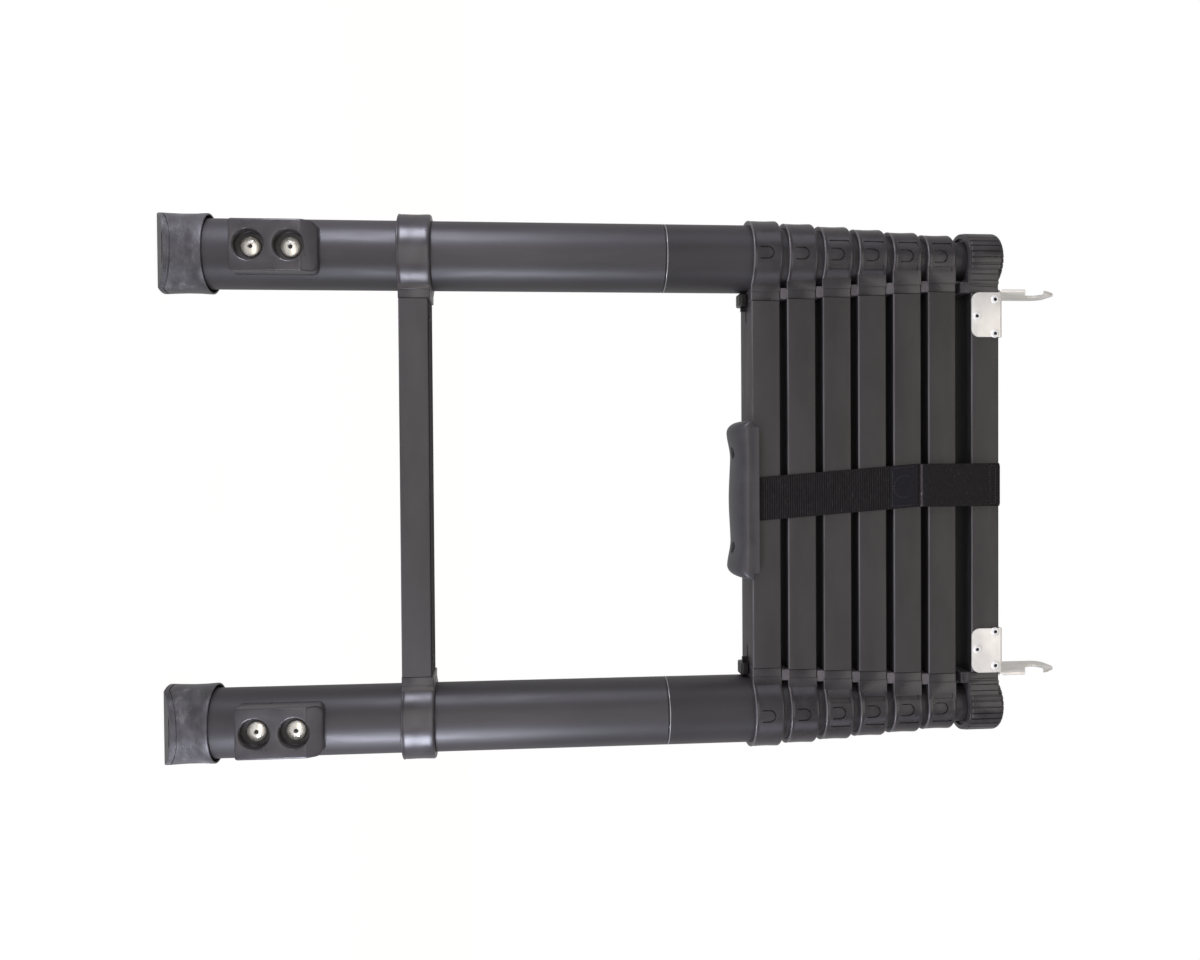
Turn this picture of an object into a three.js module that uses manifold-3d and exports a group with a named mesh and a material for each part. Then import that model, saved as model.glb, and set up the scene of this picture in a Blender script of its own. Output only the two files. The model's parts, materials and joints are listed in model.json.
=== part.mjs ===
// A telescoping ladder in its closed, stored state: two stiles of nested round tubes, eight rungs,
// the lowest of them fixed, pull-out feet held by push buttons, and hook brackets on the top rung.
// Millimetres, +Z up along the ladder, -Y to the front. The origin is on the floor, in the middle.
import * as THREE from 'three';
import { mergeVertices } from 'three/addons/utils/BufferGeometryUtils.js';
import Module from 'manifold-3d';

const wasm = await Module();
wasm.setup();

// ---- driving dimensions ----

const GAP = 0.3; // between pieces that touch
const FACETS = 24; // sides of every round piece on a stile axis

// stiles
const STILE_X = 198; // stile axis to the ladder's middle
const TUBES = 7;
const TUBE_RADIUS = 29.36; // outer tube
const TUBE_STEP = 2.08; // each tube is this much smaller in radius than the one below
const TUBE_WALL = 1.4;
const TUBE_LENGTH = 352; // each inner tube
const TUBE_INSERT = 20; // how far a tube's top end goes into its collar
const SEAM_Z = 422.5;
const SEAM_HALF = 1.2;
const SEAM_DEPTH = 0.9;

// rungs
const RUNG_HEIGHT = 25.2;
const RUNG_FRONT = -22;
const RUNG_BACK = 20;
const RUNG_WALL = 1.6;
const RUNG_CHAMFER = 2;
const LOWER_RUNG_Z = 196.8; // lower face
const FIRST_RUNG_Z = 496.8;
const CLOSED_PITCH = 31.4;
const TOP_RUNG_Z = 692.8;

// collars that join the tubes to the rungs
const COLLAR_HEIGHT = 25.5;
const COLLAR_WALL = 3.8;
const COLLAR_REACH = 39.2; // stile axis to the end of the first rung
const REACH_STEP = 1.72; // each rung is this much longer at either end than the one below
const ARM_FRONT = -21;
const ARM_BACK = 19;
const SPIGOT_LENGTH = 32; // inside the rung
const SPACER_LENGTH = 9.5;
const BAND_RADIUS = 34.9;
const BAND_Z = 196.5;
const BAND_HEIGHT = 27.7;
const BAND_REACH = 39;
const CAP_RADIUS = 24.6;
const CAP_REACH = 31;
const CAP_Z = 690.4;
const CAP_HEIGHT = 32.4;
const CAP_BORE_DEPTH = 22;
const CAP_STOP = 6.5; // the block below the cap's arm reaches down this far

// feet
const FOOT_RADIUS = 33.5;
const FOOT_HEIGHT = 41;
const FOOT_BORE = 30;
const FOOT_SOLE = 8;
const FOOT_CUT_FROM = -20; // the sole slopes up from here to the front
const FOOT_CUT_RISE = 9;
const FOOT_PLUG_TOP = 22;
const FOOT_TUBE_TOP = 192;
const FOOT_TRAVEL = 63.6;
const OUTER_TUBE_BOTTOM = 9;

// lock housings and their push buttons
const HOUSING_FRONT = -43;
const HOUSING_BACK = -18;
const HOUSING_HALF_WIDTH = 21;
const HOUSING_BOTTOM = 64.6;
const HOUSING_TOP = 134.2;
const HOUSING_SLOPE = 12.2; // height of the sloping upper end
const HOUSING_SLOPE_FRONT = -35;
const HOUSING_CORNER = 6;
const RECESS_RADIUS = 12.5;
const RECESS_FLOOR = -31.6;
const BUTTON_LOW_Z = 80.3;
const BUTTON_PITCH = 31.8;
const BUTTON_RADIUS = 8.15;
const BUTTON_HOLE = 8.6;
const BUTTON_APEX = -35;
const BUTTON_BACK = -20;
const BUTTON_POCKET_RADIUS = 5.5;
const BUTTON_POCKET_END = -26;
const DIMPLE_RADIUS = 1.75;
const SEAT_FRONT = 1; // the plate that the button springs press on
const SEAT_BACK = 4;
const SEAT_HALF_WIDTH = 7;
const POST_HALF = 4.5;

// springs, as the sleeve that the coils fill
const BUTTON_SPRING_RADIUS = 4.9;
const BUTTON_SPRING_BORE = 3.6;
const LATCH_SPRING_RADIUS = 2.4;
const LATCH_SPRING_BORE = 1.6;

// release latches under the first rung
const LATCH_Y = -1;
const KNOB_FROM = 30.5; // from the stile axis, towards the middle
const KNOB_TO = 42;
const KNOB_BOTTOM = 489.5;
const KNOB_HALF_DEPTH = 8;
const KNOB_CHAMFER = 1.5;
const STEM_FROM = 41;
const STEM_TO = 46;
const NECK_HALF_DEPTH = 1.6; // where the stem passes the rung's lower wall
const STEM_HALF_DEPTH = 3; // inside the rung, where the spring presses on it
const STEM_BOTTOM = 499;
const STEM_TOP = 508;
const LATCH_SLOT_TO = 56;
const CHANNEL_TO = 66;
const CHANNEL_TOP = 511;

// carrying handle under the first rung
const HANDLE_X = 13;
const HANDLE_HALF_LENGTH = 68.75;
const HANDLE_BOTTOM = 480;
const HANDLE_WAIST = 484.6; // beside each flared end
const HANDLE_BELLY = 482.2; // bulge in the middle
const HANDLE_TOP = 502.2;
const HANDLE_FRONT = -26.6;
const HANDLE_BACK = 24.6;
const HANDLE_LIP = 2;
const HANDLE_SHOULDER = 493; // the faces are upright above this and rounded below it
const HANDLE_FLARE = 13;

// strap round the closed rungs
const STRAP_WIDTH = 37;
const STRAP_THICKNESS = 1.8;
const STRAP_CLEARANCE = 0.5;
const STRAP_BOTTOM = 497.5;
const STRAP_LOW_X = 12.4;
const STRAP_HIGH_X = 1.8;

// hook brackets on the top rung
const PLATE_THICKNESS = 2;
const PLATE_FROM = 31;
const PLATE_TO = 70;
const PLATE_BOTTOM = 692.4;
const PLATE_CORNER = 7;
const EAR_FROM = 28.3;
const EAR_THICKNESS = 2.4;
const EAR_BACK = 24;
const EAR_TOP = 778.5;
const HOOK_SLOT_RADIUS = 7.5;
const HOOK_SLOT_END = [0.5, 762]; // y, z of the middle of the slot's closed end
const HOOK_SLOT_MOUTH = [-34, 744.4];

// worked out from the dimensions above
const RUNG_TOP = TOP_RUNG_Z + RUNG_HEIGHT;
const LATCH_SPRING_Z = (FIRST_RUNG_Z + CHANNEL_TOP) / 2;
const tubeRadius = (tube) => TUBE_RADIUS - TUBE_STEP * (tube - 1);
const collarZ = (collar) => FIRST_RUNG_Z + CLOSED_PITCH * (collar - 1);
const collarReach = (collar) => COLLAR_REACH - REACH_STEP * (collar - 1);

// ---- materials ----

const finish = (color, roughness, metalness) =>
  new THREE.MeshStandardMaterial({ color, roughness, metalness });

const blackAnodised = finish(0x2b2b2f, 0.42, 0.7);
const rungAnodised = finish(0x353334, 0.5, 0.6);
const blackPlastic = finish(0x29282b, 0.5, 0);
const capRubber = finish(0x333235, 0.7, 0);
const gripPlastic = finish(0x3b3d40, 0.55, 0);
const webbing = finish(0x17171a, 0.9, 0);
const zincSteel = finish(0xd4d0c6, 0.35, 0.9);
const nickel = finish(0xc9c3b4, 0.25, 1);
const springSteel = finish(0x9a9a9c, 0.35, 1);

// ---- solids ----

// a closed geometry as a solid that can be cut and joined
function solid(geometry) {
  const bare = geometry.index ? geometry.toNonIndexed() : geometry.clone();
  bare.deleteAttribute('normal');
  bare.deleteAttribute('uv');
  const merged = mergeVertices(bare, 1e-4);
  const mesh = new wasm.Mesh({
    numProp: 3,
    vertProperties: merged.attributes.position.array,
    triVerts: new Uint32Array(merged.index.array),
  });
  return new wasm.Manifold(mesh);
}

function geometryOf(manifold) {
  const mesh = manifold.getMesh();
  const geometry = new THREE.BufferGeometry();
  geometry.setAttribute('position', new THREE.BufferAttribute(mesh.vertProperties, 3));
  geometry.setIndex(new THREE.BufferAttribute(mesh.triVerts, 1));
  geometry.computeVertexNormals();
  return geometry;
}

function shapeFrom(points, holes = []) {
  const shape = new THREE.Shape(points.map(([x, y]) => new THREE.Vector2(x, y)));
  for (const hole of holes) {
    shape.holes.push(new THREE.Path(hole.map(([x, y]) => new THREE.Vector2(x, y))));
  }
  return shape;
}

function extruded(points, depth, holes) {
  return new THREE.ExtrudeGeometry(shapeFrom(points, holes), { depth, bevelEnabled: false });
}

// an outline in x, y, raised from one height to another
function alongZ(points, from, to, holes) {
  return extruded(points, to - from, holes).translate(0, 0, from);
}

// an outline in x, z, pulled through from front to back
function alongY(points, from, to, holes) {
  return extruded(points, to - from, holes).rotateX(Math.PI / 2).translate(0, to, 0);
}

// an outline in y, z, pulled through sideways
function alongX(points, from, to, holes) {
  const turn = new THREE.Matrix4().makeBasis(
    new THREE.Vector3(0, 1, 0),
    new THREE.Vector3(0, 0, 1),
    new THREE.Vector3(1, 0, 0),
  );
  return extruded(points, to - from, holes).applyMatrix4(turn).translate(from, 0, 0);
}

function box([x1, x2], [y1, y2], [z1, z2]) {
  const geometry = new THREE.BoxGeometry(x2 - x1, y2 - y1, z2 - z1);
  return geometry.translate((x1 + x2) / 2, (y1 + y2) / 2, (z1 + z2) / 2);
}

// a closed profile of [radius, height] points turned about the z axis
function turned(profile, sides = FACETS) {
  const points = profile.map(([r, h]) => new THREE.Vector2(r, h));
  return new THREE.LatheGeometry(points, sides).rotateX(Math.PI / 2);
}

function circle(radius, x = 0, y = 0, sides = FACETS) {
  return Array.from({ length: sides }, (_, side) => {
    const angle = (2 * Math.PI * side) / sides;
    return [x + radius * Math.cos(angle), y + radius * Math.sin(angle)];
  });
}

// an arc from one angle to another, in degrees
function arc(radius, x, y, from, to, steps) {
  return Array.from({ length: steps + 1 }, (_, step) => {
    const angle = ((from + ((to - from) * step) / steps) * Math.PI) / 180;
    return [x + radius * Math.cos(angle), y + radius * Math.sin(angle)];
  });
}

// an upright slot with round ends, between two centre heights
function slotOutline(radius, low, high) {
  return [...arc(radius, 0, low, 180, 360, 6), ...arc(radius, 0, high, 0, 180, 6)];
}

// ---- stile pieces: the stile axis is x = 0, y = 0, and +x points to the ladder's middle ----

function tube(radius, from, to) {
  const bore = radius - TUBE_WALL;
  return turned([[bore, from], [radius, from], [radius, to], [bore, to], [bore, from]]);
}

function outerTube() {
  const bore = TUBE_RADIUS - TUBE_WALL;
  const top = FIRST_RUNG_Z + TUBE_INSERT;
  const profile = [
    [bore, OUTER_TUBE_BOTTOM],
    [TUBE_RADIUS, OUTER_TUBE_BOTTOM],
    [TUBE_RADIUS, SEAM_Z - SEAM_HALF],
    [TUBE_RADIUS - SEAM_DEPTH, SEAM_Z],
    [TUBE_RADIUS, SEAM_Z + SEAM_HALF],
    [TUBE_RADIUS, top],
    [bore, top],
    [bore, OUTER_TUBE_BOTTOM],
  ];
  const slot = slotOutline(BUTTON_HOLE, BUTTON_LOW_Z, BUTTON_LOW_Z + BUTTON_PITCH);
  const window = solid(alongY(slot, HOUSING_FRONT, HOUSING_BACK));
  return geometryOf(solid(turned(profile)).subtract(window));
}

// the pull-out tube: its slot passes the buttons at every height of the foot
function footTube() {
  const slotTop = BUTTON_LOW_Z + BUTTON_PITCH + FOOT_TRAVEL;
  const slot = slotOutline(BUTTON_HOLE, BUTTON_LOW_Z, slotTop);
  const window = solid(alongY(slot, HOUSING_FRONT, HOUSING_BACK));
  return geometryOf(solid(tube(tubeRadius(2), FOOT_SOLE + GAP, FOOT_TUBE_TOP)).subtract(window));
}

// the sole is flat at the back and cut away to the front, for a ladder that leans
function footCap() {
  const plug = tubeRadius(2) - TUBE_WALL - GAP;
  const shoe = turned([
    [0, 0],
    [FOOT_RADIUS - 1, 0],
    [FOOT_RADIUS, 2],
    [FOOT_RADIUS, FOOT_HEIGHT],
    [FOOT_BORE, FOOT_HEIGHT],
    [FOOT_BORE, FOOT_SOLE],
    [plug, FOOT_SOLE],
    [plug, FOOT_PLUG_TOP],
    [0, FOOT_PLUG_TOP],
  ]);
  const slope = FOOT_CUT_RISE / (FOOT_CUT_FROM + FOOT_RADIUS);
  const beyond = -FOOT_RADIUS - 1;
  const cutaway = [
    [FOOT_CUT_FROM, 0],
    [beyond, slope * (FOOT_CUT_FROM - beyond)],
    [beyond, -1],
    [FOOT_CUT_FROM, -1],
  ];
  const wedge = alongX(cutaway, -FOOT_RADIUS - 1, FOOT_RADIUS + 1);
  return geometryOf(solid(shoe).subtract(solid(wedge)));
}

// a ring round the tube with a flat arm that reaches to the rung
function armOutline(radius, reach) {
  const back = (Math.asin(ARM_BACK / radius) * 180) / Math.PI;
  const front = 360 + (Math.asin(ARM_FRONT / radius) * 180) / Math.PI;
  const facet = 360 / FACETS;
  const ring = [];
  for (let angle = Math.ceil(back / facet) * facet; angle < front; angle += facet) {
    ring.push(...arc(radius, 0, 0, angle, angle, 1).slice(1));
  }
  return [
    [reach, ARM_BACK],
    ...arc(radius, 0, 0, back, back, 1).slice(1),
    ...ring,
    ...arc(radius, 0, 0, front, front, 1).slice(1),
    [reach, ARM_FRONT],
  ];
}

function spigot(reach, rungZ) {
  const inset = RUNG_WALL + GAP;
  return solid(box(
    [reach - 1, reach + SPIGOT_LENGTH],
    [RUNG_FRONT + inset, RUNG_BACK - inset],
    [rungZ + inset, rungZ + RUNG_HEIGHT - inset],
  ));
}

// a block under the arm that keeps the closed rungs apart
function spacer(reach, from, to) {
  return solid(box([reach - SPACER_LENGTH, reach], [ARM_FRONT + 1, ARM_BACK - 1], [from, to]));
}

function collar(number) {
  const radius = tubeRadius(number);
  const reach = collarReach(number);
  const bottom = collarZ(number);
  const top = bottom + COLLAR_HEIGHT;
  const guide = circle(tubeRadius(number + 1) + GAP);
  const outline = armOutline(radius + COLLAR_WALL, reach);
  const socket = alongZ(circle(radius + GAP), bottom - 1, bottom + TUBE_INSERT + GAP);
  let body = solid(alongZ(outline, bottom, top, [guide]))
    .add(spigot(reach, bottom))
    .subtract(solid(socket));
  if (number > 1) {
    const below = bottom - CLOSED_PITCH + COLLAR_HEIGHT + GAP;
    body = body.add(spacer(reach, below, bottom + 1));
  } else {
    const half = STEM_HALF_DEPTH + GAP;
    const channel = box([reach, CHANNEL_TO], [LATCH_Y - half, LATCH_Y + half], [bottom, CHANNEL_TOP]);
    body = body.subtract(solid(channel));
  }
  return geometryOf(body);
}

function bandCollar() {
  const outline = armOutline(BAND_RADIUS, BAND_REACH);
  const band = alongZ(outline, BAND_Z, BAND_Z + BAND_HEIGHT, [circle(TUBE_RADIUS + GAP)]);
  return geometryOf(solid(band).add(spigot(BAND_REACH, LOWER_RUNG_Z)));
}

function endCap() {
  const boreTop = CAP_Z + CAP_BORE_DEPTH;
  const below = CAP_Z - CAP_STOP;
  const body = solid(alongZ(circle(CAP_RADIUS), CAP_Z, CAP_Z + CAP_HEIGHT))
    .add(solid(alongZ(armOutline(CAP_RADIUS, CAP_REACH), CAP_Z, RUNG_TOP)))
    .add(spigot(CAP_REACH, TOP_RUNG_Z))
    .add(spacer(CAP_REACH, below, CAP_Z + 1))
    .subtract(solid(alongZ(circle(tubeRadius(TUBES) + GAP), CAP_Z - 1, boreTop)));
  return geometryOf(body);
}

// ---- lock housing, push buttons and springs ----

function lockHousing() {
  const side = [
    [HOUSING_BACK, HOUSING_BOTTOM],
    [HOUSING_FRONT + 2, HOUSING_BOTTOM],
    [HOUSING_FRONT, HOUSING_BOTTOM + 2],
    [HOUSING_FRONT, HOUSING_TOP - HOUSING_SLOPE],
    [HOUSING_SLOPE_FRONT, HOUSING_TOP],
    [HOUSING_BACK, HOUSING_TOP],
  ];
  const cornerX = HOUSING_HALF_WIDTH - HOUSING_CORNER;
  const low = HOUSING_BOTTOM + HOUSING_CORNER;
  const high = HOUSING_TOP - HOUSING_CORNER;
  const face = [
    ...arc(HOUSING_CORNER, cornerX, high, 0, 90, 3),
    ...arc(HOUSING_CORNER, -cornerX, high, 90, 180, 3),
    ...arc(HOUSING_CORNER, -cornerX, low, 180, 270, 3),
    ...arc(HOUSING_CORNER, cornerX, low, 270, 360, 3),
  ];
  const saddle = alongZ(circle(TUBE_RADIUS + GAP), HOUSING_BOTTOM - 1, HOUSING_TOP + 1);
  let body = solid(alongX(side, -HOUSING_HALF_WIDTH, HOUSING_HALF_WIDTH))
    .intersect(solid(alongY(face, HOUSING_FRONT - 1, HOUSING_BACK + 1)))
    .subtract(solid(saddle));
  for (const z of [BUTTON_LOW_Z, BUTTON_LOW_Z + BUTTON_PITCH]) {
    const recess = alongY(circle(RECESS_RADIUS, 0, z, 20), HOUSING_FRONT - 1, RECESS_FLOOR);
    const hole = alongY(circle(BUTTON_HOLE, 0, z, 16), HOUSING_FRONT, HOUSING_BACK);
    body = body.subtract(solid(recess)).subtract(solid(hole));
  }
  const middle = BUTTON_LOW_Z + BUTTON_PITCH / 2;
  const across = [middle - POST_HALF, middle + POST_HALF];
  const post = box([-POST_HALF, POST_HALF], [RECESS_FLOOR + 0.4, SEAT_FRONT + 1], across);
  const seatHalf = BUTTON_PITCH / 2 + SEAT_HALF_WIDTH;
  const seat = box(
    [-SEAT_HALF_WIDTH, SEAT_HALF_WIDTH],
    [SEAT_FRONT, SEAT_BACK],
    [middle - seatHalf, middle + seatHalf],
  );
  return geometryOf(body.add(solid(post)).add(solid(seat)));
}

// a profile of [radius, y] points turned about an axis along y, at height z
function turnedAlongY(profile, z, sides) {
  const upright = turned(profile.map(([r, y]) => [r, -y]), sides);
  return upright.rotateX(Math.PI / 2).translate(0, 0, z);
}

function lockButton(z) {
  const profile = [
    [0, BUTTON_POCKET_END],
    [BUTTON_POCKET_RADIUS, BUTTON_POCKET_END],
    [BUTTON_POCKET_RADIUS, BUTTON_BACK],
    [BUTTON_RADIUS, BUTTON_BACK],
    [BUTTON_RADIUS, BUTTON_APEX + 2.4],
    [BUTTON_RADIUS - 2.6, BUTTON_APEX + 0.6],
    [DIMPLE_RADIUS, BUTTON_APEX],
    [0, BUTTON_APEX + 0.8],
  ];
  return turnedAlongY(profile, z, 12);
}

function buttonSpring(z) {
  const from = BUTTON_POCKET_END + GAP;
  const to = SEAT_FRONT - GAP;
  const profile = [
    [BUTTON_SPRING_BORE, to],
    [BUTTON_SPRING_RADIUS, to],
    [BUTTON_SPRING_RADIUS, from],
    [BUTTON_SPRING_BORE, from],
    [BUTTON_SPRING_BORE, to],
  ];
  return turnedAlongY(profile, z, 10);
}

// ---- release latch ----

function thumbLatch() {
  const top = FIRST_RUNG_Z - GAP;
  const from = LATCH_Y - KNOB_HALF_DEPTH;
  const to = LATCH_Y + KNOB_HALF_DEPTH;
  const knob = [
    [from, top],
    [from, KNOB_BOTTOM + KNOB_CHAMFER],
    [from + KNOB_CHAMFER, KNOB_BOTTOM],
    [to - KNOB_CHAMFER, KNOB_BOTTOM],
    [to, KNOB_BOTTOM + KNOB_CHAMFER],
    [to, top],
  ];
  const upright = (half, low, high) =>
    solid(box([STEM_FROM, STEM_TO], [LATCH_Y - half, LATCH_Y + half], [low, high]));
  const latch = solid(alongX(knob, KNOB_FROM, KNOB_TO))
    .add(upright(NECK_HALF_DEPTH, KNOB_BOTTOM + 2.5, STEM_BOTTOM + 1))
    .add(upright(STEM_HALF_DEPTH, STEM_BOTTOM, STEM_TOP));
  return geometryOf(latch);
}

function latchSpring() {
  const outer = circle(LATCH_SPRING_RADIUS, LATCH_Y, LATCH_SPRING_Z, 10);
  const inner = circle(LATCH_SPRING_BORE, LATCH_Y, LATCH_SPRING_Z, 10);
  return alongX(outer, STEM_TO + GAP, CHANNEL_TO - GAP, [inner]);
}

// ---- rungs, across the whole ladder ----

function chamferedSection(front, back, bottom, top, chamfer) {
  return [
    [front + chamfer, bottom],
    [back - chamfer, bottom],
    [back, bottom + chamfer],
    [back, top - chamfer],
    [back - chamfer, top],
    [front + chamfer, top],
    [front, top - chamfer],
    [front, bottom + chamfer],
  ];
}

function rung(z, reach) {
  const half = STILE_X - reach - GAP;
  const outside = chamferedSection(RUNG_FRONT, RUNG_BACK, z, z + RUNG_HEIGHT, RUNG_CHAMFER);
  const inside = chamferedSection(
    RUNG_FRONT + RUNG_WALL,
    RUNG_BACK - RUNG_WALL,
    z + RUNG_WALL,
    z + RUNG_HEIGHT - RUNG_WALL,
    GAP,
  );
  return alongX(outside, -half, half, [inside]);
}

// the first rung has an open slot at either end for the stem of a release latch
function firstRung() {
  let body = solid(rung(FIRST_RUNG_Z, COLLAR_REACH));
  const half = NECK_HALF_DEPTH + GAP;
  const from = STILE_X - LATCH_SLOT_TO;
  for (const side of [-1, 1]) {
    const ends = [side * from, side * STILE_X].sort((a, b) => a - b);
    const slot = box(ends, [LATCH_Y - half, LATCH_Y + half], [FIRST_RUNG_Z - 1, FIRST_RUNG_Z + 2]);
    body = body.subtract(solid(slot));
  }
  return geometryOf(body);
}

// ---- handle ----

function handle() {
  const end = HANDLE_HALF_LENGTH;
  const waist = end - HANDLE_FLARE;
  const rightHalf = [
    [end, HANDLE_TOP - 3],
    [end, HANDLE_BOTTOM + 4],
    [end - 3, HANDLE_BOTTOM],
    [waist + 3, HANDLE_BOTTOM],
    [waist - 4, HANDLE_WAIST],
    [waist * 0.5, HANDLE_BELLY + 0.6],
    [waist * 0.2, HANDLE_BELLY],
  ];
  const mirrored = rightHalf.map(([x, z]) => [-x, z]).reverse();
  const outline = [[-end + 3, HANDLE_TOP], [end - 3, HANDLE_TOP], ...rightHalf, ...mirrored]
    .map(([x, z]) => [x + HANDLE_X, z]);
  const rungSpace = box(
    [HANDLE_X - end - 1, HANDLE_X + end + 1],
    [RUNG_FRONT - GAP, RUNG_BACK + GAP],
    [FIRST_RUNG_Z - GAP, HANDLE_TOP + 1],
  );
  const pocketHalf = STRAP_WIDTH / 2 + 1;
  const pocket = box(
    [STRAP_LOW_X - pocketHalf, STRAP_LOW_X + pocketHalf],
    [HANDLE_FRONT + HANDLE_LIP, HANDLE_BACK - HANDLE_LIP],
    [FIRST_RUNG_Z - GAP, HANDLE_TOP + 1],
  );
  const middleY = (HANDLE_FRONT + HANDLE_BACK) / 2;
  const rounding = arc(1, 0, 0, 180, 360, 10).map(([across, down]) => [
    middleY + (across * (HANDLE_BACK - HANDLE_FRONT)) / 2,
    HANDLE_SHOULDER + down * (HANDLE_SHOULDER - HANDLE_BOTTOM + 0.5),
  ]);
  const section = [[HANDLE_FRONT, HANDLE_TOP], ...rounding, [HANDLE_BACK, HANDLE_TOP]];
  const body = solid(alongY(outline, HANDLE_FRONT, HANDLE_BACK))
    .intersect(solid(alongX(section, HANDLE_X - end - 1, HANDLE_X + end + 1)))
    .subtract(solid(rungSpace))
    .subtract(solid(pocket));
  return geometryOf(body);
}

// ---- strap: over the top rung and down both faces of the closed rungs ----

function strap() {
  const innerFront = RUNG_FRONT - STRAP_CLEARANCE;
  const innerBack = RUNG_BACK + STRAP_CLEARANCE;
  const innerTop = RUNG_TOP + STRAP_CLEARANCE;
  const t = STRAP_THICKNESS;
  const path = [
    [innerFront - t, STRAP_BOTTOM],
    [innerFront, STRAP_BOTTOM],
    [innerFront, innerTop],
    [innerBack, innerTop],
    [innerBack, STRAP_BOTTOM],
    [innerBack + t, STRAP_BOTTOM],
    [innerBack + t, innerTop],
    [innerBack, innerTop + t],
    [innerFront, innerTop + t],
    [innerFront - t, innerTop],
  ];
  const lean = (STRAP_HIGH_X - STRAP_LOW_X) / (RUNG_TOP - STRAP_BOTTOM);
  const shear = new THREE.Matrix4().set(
    1, 0, lean, STRAP_LOW_X - lean * STRAP_BOTTOM,
    0, 1, 0, 0,
    0, 0, 1, 0,
    0, 0, 0, 1,
  );
  return alongX(path, -STRAP_WIDTH / 2, STRAP_WIDTH / 2).applyMatrix4(shear);
}

// ---- hook bracket: a plate on the rung's face, a flange over its top and an upright ear ----

function topBracket() {
  const front = RUNG_FRONT - GAP - PLATE_THICKNESS;
  const flangeBottom = RUNG_TOP + GAP;
  const flangeTop = flangeBottom + PLATE_THICKNESS;
  const plateOutline = [
    ...arc(PLATE_CORNER, PLATE_FROM + PLATE_CORNER, PLATE_BOTTOM + PLATE_CORNER, 180, 270, 4),
    ...arc(PLATE_CORNER, PLATE_TO - PLATE_CORNER, PLATE_BOTTOM + PLATE_CORNER, 270, 360, 4),
    [PLATE_TO, flangeTop],
    [PLATE_FROM, flangeTop],
  ];
  const earOutline = [
    [front, flangeBottom],
    [EAR_BACK, flangeBottom],
    [EAR_BACK, EAR_TOP - 10],
    [EAR_BACK - 11, EAR_TOP],
    [-4, EAR_TOP],
    [-15, EAR_TOP - 8.5],
    [-19.3, EAR_TOP - 19],
    [front, EAR_TOP - 19],
  ];
  const [endY, endZ] = HOOK_SLOT_END;
  const [mouthY, mouthZ] = HOOK_SLOT_MOUTH;
  const lean = (Math.atan2(endZ - mouthZ, endY - mouthY) * 180) / Math.PI;
  const slot = [
    ...arc(HOOK_SLOT_RADIUS, endY, endZ, lean - 90, lean + 90, 8),
    ...arc(HOOK_SLOT_RADIUS, mouthY, mouthZ, lean + 90, lean + 270, 1),
  ];
  const beyond = [
    [front - 1, EAR_TOP + 1],
    [front - 1, mouthZ + 6],
    [-19.3, EAR_TOP - 19],
    [-19.3, EAR_TOP + 1],
  ];
  const earTo = EAR_FROM + EAR_THICKNESS;
  const body = solid(alongY(plateOutline, front, front + PLATE_THICKNESS))
    .add(solid(box([EAR_FROM, PLATE_TO], [front, EAR_BACK], [flangeBottom, flangeTop])))
    .add(solid(alongX(earOutline, EAR_FROM, earTo)))
    .subtract(solid(alongX(slot, EAR_FROM - 1, earTo + 1)))
    .subtract(solid(alongX(beyond, EAR_FROM - 1, earTo + 1)));
  return geometryOf(body);
}

// ---- assembly ----

const ladder = new THREE.Group();
ladder.position.y = -(HOUSING_FRONT + BAND_RADIUS) / 2; // front and back stand equally far out

function place(name, geometry, material) {
  const mesh = new THREE.Mesh(geometry, material);
  mesh.name = name;
  ladder.add(mesh);
  return mesh;
}

// a stile piece on the left stile, and its mirror image on the right one
function placePair(name, geometry, material, suffix = '') {
  place(`${name}_left${suffix}`, geometry, material).position.x = -STILE_X;
  const right = place(`${name}_right${suffix}`, geometry, material);
  right.position.x = STILE_X;
  right.scale.x = -1;
}

placePair('foot_cap', footCap(), capRubber);
placePair('foot_tube', footTube(), blackAnodised);
placePair('outer_tube', outerTube(), blackAnodised);
placePair('lock_housing', lockHousing(), blackPlastic);
[BUTTON_LOW_Z, BUTTON_LOW_Z + BUTTON_PITCH].forEach((z, index) => {
  const suffix = index ? '_upper' : '_lower';
  placePair('lock_button', lockButton(z), nickel, suffix);
  placePair('button_spring', buttonSpring(z), springSteel, suffix);
});

placePair('band_collar', bandCollar(), blackPlastic);
place('lower_rung', rung(LOWER_RUNG_Z, BAND_REACH), rungAnodised);

for (let number = 1; number < TUBES; number += 1) {
  placePair(`collar_${number}`, collar(number), blackPlastic);
}
place('rung_1', firstRung(), rungAnodised);
for (let number = 2; number < TUBES; number += 1) {
  place(`rung_${number}`, rung(collarZ(number), collarReach(number)), rungAnodised);
}
for (let number = 2; number <= TUBES; number += 1) {
  const top = number < TUBES ? collarZ(number) + TUBE_INSERT : CAP_Z + CAP_BORE_DEPTH - GAP;
  placePair(`tube_${number}`, tube(tubeRadius(number), top - TUBE_LENGTH, top), blackAnodised);
}

placePair('thumb_latch', thumbLatch(), blackPlastic);
placePair('latch_spring', latchSpring(), springSteel);
place('handle', handle(), gripPlastic);

placePair('end_cap', endCap(), blackPlastic);
place('top_rung', rung(TOP_RUNG_Z, CAP_REACH), rungAnodised);
placePair('top_bracket', topBracket(), zincSteel);
place('strap', strap(), webbing);

export default ladder;
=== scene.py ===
import json
import math

import bmesh
import bpy
from mathutils import Matrix, Vector


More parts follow.
